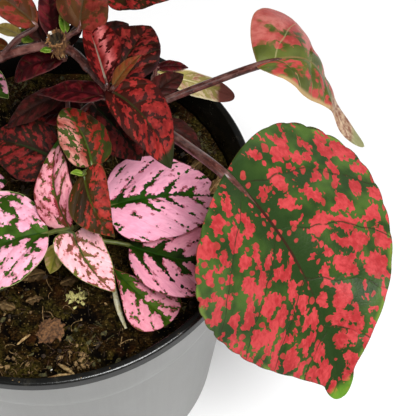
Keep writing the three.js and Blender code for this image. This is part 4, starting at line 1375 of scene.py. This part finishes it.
def make_pot():
    """One closed shell, grey outside and black from the rim inwards, with the drain holes cut out."""
    rings, black_from = pot_profile()
    turns = [FULL_TURN * k / POT_SIDES for k in range(POT_SIDES)]
    points = [(*polar(radius, turn), z) for radius, z in rings for turn in turns]
    quads = tube(len(rings), POT_SIDES)
    under, floor = lids(len(rings), POT_SIDES)
    grey = quads[: black_from * POT_SIDES] + [under]
    black = quads[black_from * POT_SIDES :] + [floor]
    heap = Heap()
    heap.add(points, grey + black, ["pot_grey"] * len(grey) + ["pot_black"] * len(black))
    shell = heap.piece("pot_shell", "pot_plastic", ["pot"], corner=30)
    tool = drain_cutters()
    cut = shell.modifiers.new("drains", "BOOLEAN")
    cut.operation = "DIFFERENCE"
    cut.solver = "EXACT"
    cut.object = tool
    bpy.context.view_layer.update()
    done = bpy.data.meshes.new_from_object(shell.evaluated_get(bpy.context.evaluated_depsgraph_get()))
    shell.modifiers.clear()
    shell.data = done
    bpy.data.objects.remove(tool)


# Litter and small growths

CHIP_SUNK = 0.9
CHIP_SLOPE = (0.12, 0.1)
CHIP_CORNERS = [
    (-4, -1.5), (-2.6, -3.4), (1, -3.7), (3.6, -2.2), (4.1, 0.8), (2.2, 3.2), (-0.8, 3.6), (-3.4, 1.8),
    (-4, -1.5)
]

# How high each layer of the chip starts, and its share of the whole outline
CHIP_LAYERS = ((0.0, 0.98), (0.4, 0.84), (0.8, 0.6))
CHIP_SECTORS = 72
CHIP_RINGS = 12

# Finish, radius, and the points as x, y and height above the soil
STRAWS = {
    "straw_long": ("dry", 0.4, [(2.6, -54.3, 3.5), (6.3, -53.5, 3.6), (10, -52.9, 2.6)]),
    "straw_crossing": ("dry", 0.6, [(5, -49, 0.4), (7.5, -51.3, 2.6), (9.8, -53.5, 4.6)]),
    "straw_short": ("dry", 0.4, [(-7, -43, 0.1), (-5.2, -41.4, 0.3), (-3.6, -40, 0.2)]),
    "dead_stalk": (
        "dead", 0.8, [(19, -24.6, 0.5), (19.8, -29.2, 2.4), (21.2, -34.6, 2.6), (23.1, -38.8, 0.5)]),
}

# Crumbs in a tuft for each millimetre of its radius, its height, and how many of them aren't peat
TUFT_CRUMBS = 11
TUFT_HEIGHT = 0.9
LICHEN_SHARE = 0.9
MOSS_SHARE = 0.35

# Tufts of moss and fibre: x, y, radius and what they are made of besides peat
TUFTS = [
    (8.6, -28.7, 2.4, "crumb_lichen"), (9.6, -47.8, 5.0, "crumb_tan"), (-6.6, -49.8, 5.0, "crumb_tan"),
    (44.0, 24.6, 3.6, "crumb_moss"), (37.0, 34.0, 3.6, "crumb_moss"), (-14.9, 46.0, 5.0, "crumb_moss"),
    (15.0, -40.0, 3.0, "crumb_moss"), (-15.0, -28.0, 4.0, "crumb_moss"), (-34.0, -30.0, 5.0, "crumb_tan"),
]

# Dry leaf scraps: x, y, heading in radians, length and width
SCRAPS = [
    (-0.7, -21.6, 3.5, 7.5, 3.6), (3.8, -25.1, 0.4, 6.0, 3.0), (-8.2, -32.7, 2.9, 6.0, 3.2),
    (-5.6, -30.5, 0.3, 5.0, 2.6), (-26.0, -22.0, 1.2, 8.0, 4.0), (20.0, 34.0, 2.2, 8.0, 4.0),
    (44.0, 18.0, 4.0, 6.0, 3.0), (-12.0, 36.0, 0.2, 9.0, 4.4), (-48.0, -8.0, 5.0, 8.0, 4.0),
]


def chip_point(turn, share, lift, reach, upper):
    """A point of a layer of the chip, measured from the chip's middle."""
    x, y = polar(reach * share, turn)
    crown = 0.6 * (1 - share**4) + 0.5 * noise.fractal(Vector((x / 2.6, y / 0.8, lift)), 0.8, 2.1, 4)
    high = lift + 0.35 + (crown if upper else -0.3)
    return np.array([x, y, high + CHIP_SLOPE[0] * x + CHIP_SLOPE[1] * y])


def make_chip():
    """A bark chip: a ragged flat lump that has flaked into layers."""
    corner_turns = np.unwrap([math.atan2(y, x) for x, y in CHIP_CORNERS])
    corner_reach = [math.hypot(x, y) for x, y in CHIP_CORNERS]
    turns = [corner_turns[0] + FULL_TURN * k / CHIP_SECTORS for k in range(CHIP_SECTORS)]
    middle = on_soil(*CHIP_PLACE, -CHIP_SUNK)
    heap = Heap()
    for lift, size in CHIP_LAYERS:
        reaches = []
        for turn in turns:
            ragged = noise.fractal(Vector((*polar(3, turn), lift * 9)), 0.4, 2.2, 5)
            reaches.append(np.interp(turn, corner_turns, corner_reach) * size * (1 + 0.3 * ragged))
        points = [
            middle + chip_point(turn, ring / CHIP_RINGS, lift, reach, upper)
            for upper in (True, False)
            for ring in range(1, CHIP_RINGS + 1)
            for turn, reach in zip(turns, reaches)
        ]
        half = CHIP_RINGS * CHIP_SECTORS
        rim = half - CHIP_SECTORS
        faces = []
        for k in range(CHIP_SECTORS):
            after = (k + 1) % CHIP_SECTORS
            for here in range(0, rim, CHIP_SECTORS):
                up = here + CHIP_SECTORS
                faces.append([here + k, up + k, up + after, here + after])
                faces.append([half + here + after, half + up + after, half + up + k, half + here + k])
            faces.append([rim + k, half + rim + k, half + rim + after, rim + after])
        faces.append([k for k in range(CHIP_SECTORS)])
        faces.append([half + k for k in range(CHIP_SECTORS)][::-1])
        heap.add(points, faces, "bark")
    heap.piece("chip_layers", "bark", ["bark_chip"])


def strand(heap, start, way, length, thick, finish, rng, droop=0.0):
    """A short crooked fibre."""
    route = [np.array(start, float)]
    for _ in range(3):
        bend = [rng.uniform(-0.5, 0.5), rng.uniform(-0.5, 0.5), rng.uniform(-0.4, 0.4) - droop]
        way = unit(way + np.array(bend))
        route.append(route[-1] + way * length / 3)
    limb(heap, route, thick, finish, sides=FIBRE_SIDES, per_span=3)


def make_tufts():
    """Heaped crumbs with a short fibre over each."""
    rng = random.Random(21)
    heap = Heap()
    room = wall_radius(SOIL_TOP) - CRUMB_INSET
    for x, y, reach, kind in TUFTS:
        share = LICHEN_SHARE if kind == "crumb_lichen" else MOSS_SHARE
        for _ in range(int(TUFT_CRUMBS * reach)):
            turn, off = rng.uniform(0, FULL_TURN), reach * math.sqrt(rng.random())
            a, b = x + off * math.cos(turn), y + off * math.sin(turn)
            size = rng.uniform(0.3, 0.8)
            if math.hypot(a, b) > room:
                continue
            lift = soil_relief(a, b) + TUFT_HEIGHT * (1 - (off / reach) ** 2)
            stuff = kind if rng.random() < share else "peat"
            pebble(heap, on_soil(a, b, lift), size, (1.3, 0.8, 0.7), turn, stuff, rng, 2)
            way = np.array([-math.sin(turn), math.cos(turn), rng.uniform(-0.1, 0.3)])
            start = on_soil(a, b, lift + 0.5 * size)
            stuff = rng.choice((kind, "crumb_rust"))
            strand(heap, start, way, rng.uniform(1.2, 3), rng.uniform(0.05, 0.1), stuff, rng)
    heap.piece("soil_tufts", "soil")


def make_scraps():
    """Dried leaf scraps on the soil, and a curled one that is caught on the folded leaf's stalk."""
    heap = Heap()
    for number, (x, y, heading, length, width) in enumerate(SCRAPS):
        end = x + length * math.cos(heading), y + length * math.sin(heading)
        scrap = small(
            0, on_soil(x, y, 1.6), on_soil(*end, 1.2), width, "withered", roll=14 * (number % 3 - 1),
            arch=0.15, curl=0.9, fold=0.5, ripple=0.2, pucker=0.1, teeth=6, tooth=0.25)
        blade(heap, scrap, 60.3 + number)
    # Painted light: the curled scrap lies in shade, and its tone of 3.2 lifts its colour.
    curled = small(
        0, (46.2, -6.5, 116.6), (50.2, -1.8, 119.4), 4.6, "withered", roll=-30, curl=1.0, fold=0.6,
        ripple=0.15, tone=3.2, teeth=5, tooth=0.15)
    blade(heap, curled, 71.2)
    heap.piece("leaf_scraps", "straw")


# The cut stem at the top node

STUB_FOOT = (8.0, 13.0, 155.0)
STUB_TOP = (7.6, 11.6, 161.0)
STUB_RADIUS = 2.4
STUB_SECTORS = 40
STUB_RAGS = 1.3
STUB_FIBRES = 44
STUB_SPLINTERS = 8

# Its rings, as shares of its radius and of its height
STUB_OUTSIDE = ((0.85, 0.0), (0.95, 0.2), (0.9, 0.5), (0.97, 0.8), (1.04, 0.97))
STUB_INSIDE = ((0.9, 1.0), (0.74, 0.9), (0.66, 0.6), (0.5, 0.42))


def make_stub():
    """What is left of an old stem: a split hollow end with dry fibres round its foot."""
    rng = random.Random(8)
    foot, top = np.array(STUB_FOOT), np.array(STUB_TOP)
    way = unit(top - foot)
    side = unit(np.cross(way, (0, 1, 0)))
    other = np.cross(way, side)
    height = np.linalg.norm(top - foot)

    def outward(turn):
        return side * math.cos(turn) + other * math.sin(turn)

    profile = STUB_OUTSIDE + STUB_INSIDE
    points = []
    for wide, high in profile:
        for k in range(STUB_SECTORS):
            turn = FULL_TURN * k / STUB_SECTORS
            ragged = noise.fractal(Vector((*polar(2.2, turn), 4)), 0.8, 2.1, 4)
            groove = 1 + 0.07 * math.sin(9 * turn) + 0.05 * math.sin(17 * turn)
            level = height * high + (STUB_RAGS * ragged if high > 0.7 else 0)
            points.append(foot + way * level + STUB_RADIUS * wide * groove * outward(turn))
    quads = tube(len(profile), STUB_SECTORS)
    skin = STUB_SECTORS * (len(STUB_OUTSIDE) + 1)
    listed = ["stub_skin"] * skin + ["stub_pith"] * (len(quads) - skin) + ["stub_skin", "stub_pith"]
    heap = Heap()
    heap.add(points, quads + lids(len(profile), STUB_SECTORS), listed)
    for _ in range(STUB_FIBRES):
        out = outward(rng.uniform(0, FULL_TURN))
        start = foot + way * rng.uniform(0.4, 2.6) + out * STUB_RADIUS * 0.85
        kind = rng.choice(("stub_skin", "stub_skin", "dry"))
        strand(heap, start, out * 0.5 - way, rng.uniform(1.0, 2.6), rng.uniform(0.06, 0.16), kind, rng, 0.5)
    for _ in range(STUB_SPLINTERS):
        out = outward(rng.uniform(0, FULL_TURN))
        start = foot + way * height * rng.uniform(0.75, 0.95) + out * STUB_RADIUS * 0.85
        strand(heap, start, way + out * 0.3, rng.uniform(1.2, 2.4), rng.uniform(0.1, 0.18), "stub_skin",
        rng)
    pebble(heap, top + np.array([-1.5, 1.0, 0.6]), 0.5, (1, 0.8, 0.9), 0.4, "crumb_pale", rng, 2)
    heap.piece("stub_split", "bark", ["shoot_red_arching"])


def make_straws():
    """Dry stalks that lie on the soil, thickest in their middle."""
    rng = random.Random(3)
    for name, (kind, radius, route) in STRAWS.items():

        def taper(share, gone):
            return radius * (0.45 + 0.55 * math.sin(math.pi * share) + 0.06 * math.sin(gone * 4))

        heap = Heap()
        points = [on_soil(x, y, lift) for x, y, lift in route]
        limb(heap, points, taper, kind, sides=10, per_span=8, seed=rng.random())
        heap.piece(name + "_split", "straw", [name])


make_soil()
make_crumbs()
make_fibres()
make_pot()
make_chip()
make_straws()
make_tufts()
make_scraps()
make_stub()
for number, (name, shoot) in enumerate(SHOOTS.items(), 1):
    make_shoot(name, shoot, number)


# Floor, light and camera: their lengths are in metres, and the lamps' power is in watts

FLOOR_REACH = 3.0
WORLD_LIGHT = 0.14

# Place, what it points at, width and power
LAMPS = {
    "softbox": ((0.32, -0.42, 1.05), (0, 0, 0.1), 0.5, 15),
    "window": ((0.9, 0.5, 0.8), (0, 0, 0.1), 0.8, 3),
    "low_fill": ((-1.7, -1.0, 0.6), (0, 0, 0.05), 1.0, 11),
}


def make_floor():
    corners = [(x * FLOOR_REACH, y * FLOOR_REACH, 0) for x, y in ((-1, -1), (1, -1), (1, 1), (-1, 1))]
    mesh = bpy.data.meshes.new("floor")
    mesh.from_pydata(corners, [], [[0, 1, 2, 3]])
    made = link("floor", mesh)
    s = Shader("floor_white")
    s.set(Base_Color=(0.9, 0.9, 0.9, 1), Roughness=0.9)
    mesh.materials.append(s.material)


def make_lamp(name, place, target, size, power):
    lamp = bpy.data.lights.new(name, "AREA")
    lamp.shape = "DISK"
    lamp.size = size
    lamp.energy = power
    made = link(name, lamp)
    made.location = place
    made.rotation_euler = (Vector(target) - Vector(place)).to_track_quat("-Z", "Y").to_euler()


def make_light():
    for name, lamp in LAMPS.items():
        make_lamp(name, *lamp)
    world = bpy.data.worlds.new("studio")
    world.use_nodes = True
    background = world.node_tree.nodes["Background"]
    background.inputs["Color"].default_value = (1, 1, 1, 1)
    background.inputs["Strength"].default_value = WORLD_LIGHT
    scene.world = world
    scene.view_settings.view_transform = "Standard"


def make_camera():
    lens = bpy.data.cameras.new("camera")
    lens.lens = LENS
    lens.sensor_width = SENSOR
    made = link("camera", lens)
    made.location = [value * MM for value in CAMERA_PLACE]
    made.rotation_euler = (math.radians(CAMERA_TILT), 0, 0)
    scene.camera = made


make_floor()
make_light()
make_camera()
